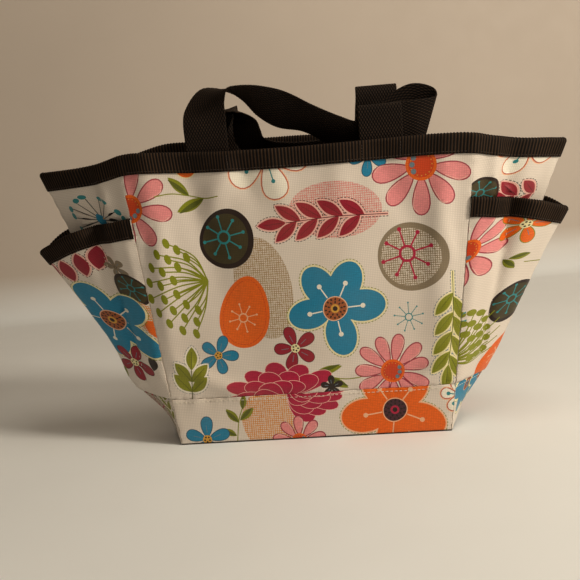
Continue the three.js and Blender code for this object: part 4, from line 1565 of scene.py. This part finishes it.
def add_handle(side, stations):
    """The loop rides the handle; its two sewn feet, between the bag and the handle, are made fixed in place."""
    body = f"{side}_handle"
    (middle_a, arrow_a), (middle_b, arrow_b) = stations[0], stations[-1]
    foot_a = [[(*middle_a[:2], z), arrow_a] for z in (TAB_FOOT, 240, 256)]
    foot_b = [[(*middle_b[:2], z), arrow_b] for z in (256, 240, TAB_FOOT)]
    m, a, run = strap_frames(foot_a + stations + foot_b)
    rows, side_map = strap_sections(m, a, run)
    above = np.where(m[:, 2] >= CUT_HEIGHT)[0]
    first, last = above[0], above[-1]
    part = slice(first, last + 1)
    stand_in(swept(f"{body}_webbing", rows[part], WEB_LOOK, run[part], side_map, body), body)
    for part, foot in ((slice(0, first + 1), m[0]), (slice(last, len(m)), m[-1])):
        hand = "left" if foot[0] < 0 else "right"
        piece = swept(f"{body}_{hand}_foot", rows[part], WEB_LOOK, run[part], side_map, None)
        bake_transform(piece)
        stand_in(piece, f"{body}_{hand}_end")


add_handle("front", FRONT_LOOP)
add_handle("back", BACK_LOOP)

# ---- linings, board and base


HEM = 4.5 * MM
LINING_DROP = 2 * MM
LINING_BEHIND = 1.4 * MM
LINING = 0.5 * MM
LINING_COLUMNS, LINING_ROWS = 60, 50


def rising_hem(share):
    return rising(share) + HEM


LINING_WALLS = four_sides(BAND_FOOT + HEM, rising_hem, HEIGHT - LINING_DROP, 49, 49, 40)
for side in ("front", "back", "left", "right"):
    surface = LINING_WALLS[side]
    share = np.linspace(0, 1, LINING_COLUMNS)
    outer, inner = [], []
    for level in np.linspace(0, 1, LINING_ROWS):
        ripple = np.abs(0.5 * MM * np.sin(share * 23 + 5 * level) * np.sin(np.pi * share))
        outer.append(surface.offset(share, level, -LINING_BEHIND - ripple))
        inner.append(surface.offset(share, level, -LINING_BEHIND - LINING - ripple))
    piece = thick_sheet(f"{side}_lining_cloth", np.array(outer), np.array(inner), LINING_LOOK)
    cut_sheet(Panel(surface))
    stand_in(piece, f"{side}_lining")

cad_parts["base_stiffener"].data.materials.clear()
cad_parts["base_stiffener"].data.materials.append(BOARD_LOOK)


def floor_sheet(name, half_x, half_y, tip_x, tip_z, z, thickness, material, wave=0.0):
    """A floor cloth whose ends rise to a point under each gusset."""
    rows = []
    for t in np.linspace(-1, 1, 31):
        x = np.linspace(-1, 1, 81) * (half_x + (tip_x - half_x) * (1 - abs(t)))
        past = np.clip((np.abs(x) - half_x) / (tip_x - half_x), 0, 1)
        soft = wave * np.sin(x * 90) * np.cos(t * 3.0) * (1 - t * t)
        rows.append(np.stack([x, t * half_y * (1 - past * 0.02), z + (tip_z - z) * past + np.abs(soft)], 1))
    lower = np.array(rows)
    piece = thick_sheet(name, lower + np.array([0, 0, thickness]), lower, material)
    return piece


FLOOR_LINING = 0.6 * MM
FLOOR_GAP = 3 * MM
under = floor_sheet("base_underside_cloth", BASE_W - SEAM_GAP, BASE_D - SEAM_GAP, high("base_panel").x,
                    FOLD_RISE, 0.0, CANVAS, BASE_LOOK)
stand_in(under, "base_panel")
floor_low, floor_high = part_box("base_lining")
inner_floor = floor_sheet("base_lining_cloth", BASE_W - FLOOR_GAP, BASE_D - FLOOR_GAP, floor_high.x,
                          floor_high.z - FLOOR_LINING, floor_low.z, FLOOR_LINING, LINING_LOOK, 0.6 * MM)
stand_in(inner_floor, "base_lining")

# ---- floor, backdrop and light


STAGE_SIDE = 4.0
STAGE_FRONT = -3.0
STAGE_TOP = 3.0
WALL_NEAR = 0.70
WALL_BEND = 0.07
WALL_TURN = 10
LAMP = (1.0, 0.887, 0.728)


def add_stage():
    """A floor that curves up into a wall, seen from its front only. The wall is painted darker and warmer than
    the floor, as painted shade.
    """
    s = Shader("plain_backdrop", Specular_IOR_Level=0.3)
    own = s.own_space()
    wall_shade_mask = s.span(s.add("SeparateXYZ", {0: own}).outputs[2], 0.01, 0.08)
    cloud = s.span(s.noise(own, 3.0), 0.3, 0.7, 0.94, 1.0)
    # The wall's darker, warmer colour is painted shade; the floor keeps its own pale colour.
    colour = s.scaled(s.mix(wall_shade_mask, paint("#E8EBEC"), paint("#C6BBB0")), cloud)
    s.feed(s.surface, "Base Color", colour)
    s.feed(s.surface, "Roughness", s.span(s.noise(own, 30.0), 0.3, 0.7, 0.5, 0.65))
    behind = s.add("NewGeometry").outputs["Backfacing"]
    clear = s.add("BsdfTransparent").outputs[0]
    one_sided = s.add("MixShader", {0: behind, 1: s.surface.outputs[0], 2: clear}).outputs[0]
    s.feed(s.tree.nodes["Material Output"], "Surface", one_sided)
    bend = [(WALL_NEAR + WALL_BEND * math.sin(t), WALL_BEND - WALL_BEND * math.cos(t))
            for t in np.linspace(0.1, math.pi / 2, 12)]
    depth = [(STAGE_FRONT, 0.0), (WALL_NEAR, 0.0), *bend, (WALL_NEAR + WALL_BEND, STAGE_TOP)]
    c, t = compass(WALL_TURN)
    points = [(x * c - y * t, x * t + y * c, z) for y, z in depth for x in (-STAGE_SIDE, STAGE_SIDE)]
    make_piece("floor_and_backdrop", points, grid_faces(len(depth), 2), s.material, None)


def add_light(name, place, aim, size, power):
    light = bpy.data.lights.new(name, "AREA")
    light.size = size
    light.energy = power
    light.color = LAMP
    holder = bpy.data.objects.new(name, light)
    holder.location = place
    holder.rotation_euler = (Vector(aim) - Vector(place)).to_track_quat("-Z", "Y").to_euler()
    bpy.context.scene.collection.objects.link(holder)


add_stage()
add_light("key", (1.35, -0.6, 1.0), (0, 0, 0.12), 0.3, 22)
add_light("front_fill", (0.1, -1.7, 1.2), (0, 0, 0.12), 1.0, 4.0)
add_light("overhead", (0.5, -0.3, 1.9), (0.3, 0, 0), 0.8, 9.5)
world = bpy.data.worlds.new("studio")
world.use_nodes = True
glow = world.node_tree.nodes["Background"].inputs
glow["Color"].default_value = (1.0, 0.78, 0.56, 1)
glow["Strength"].default_value = 0.075
bpy.context.scene.world = world
view = bpy.context.scene.view_settings
view.view_transform = "Standard"
view.gamma = 0.93
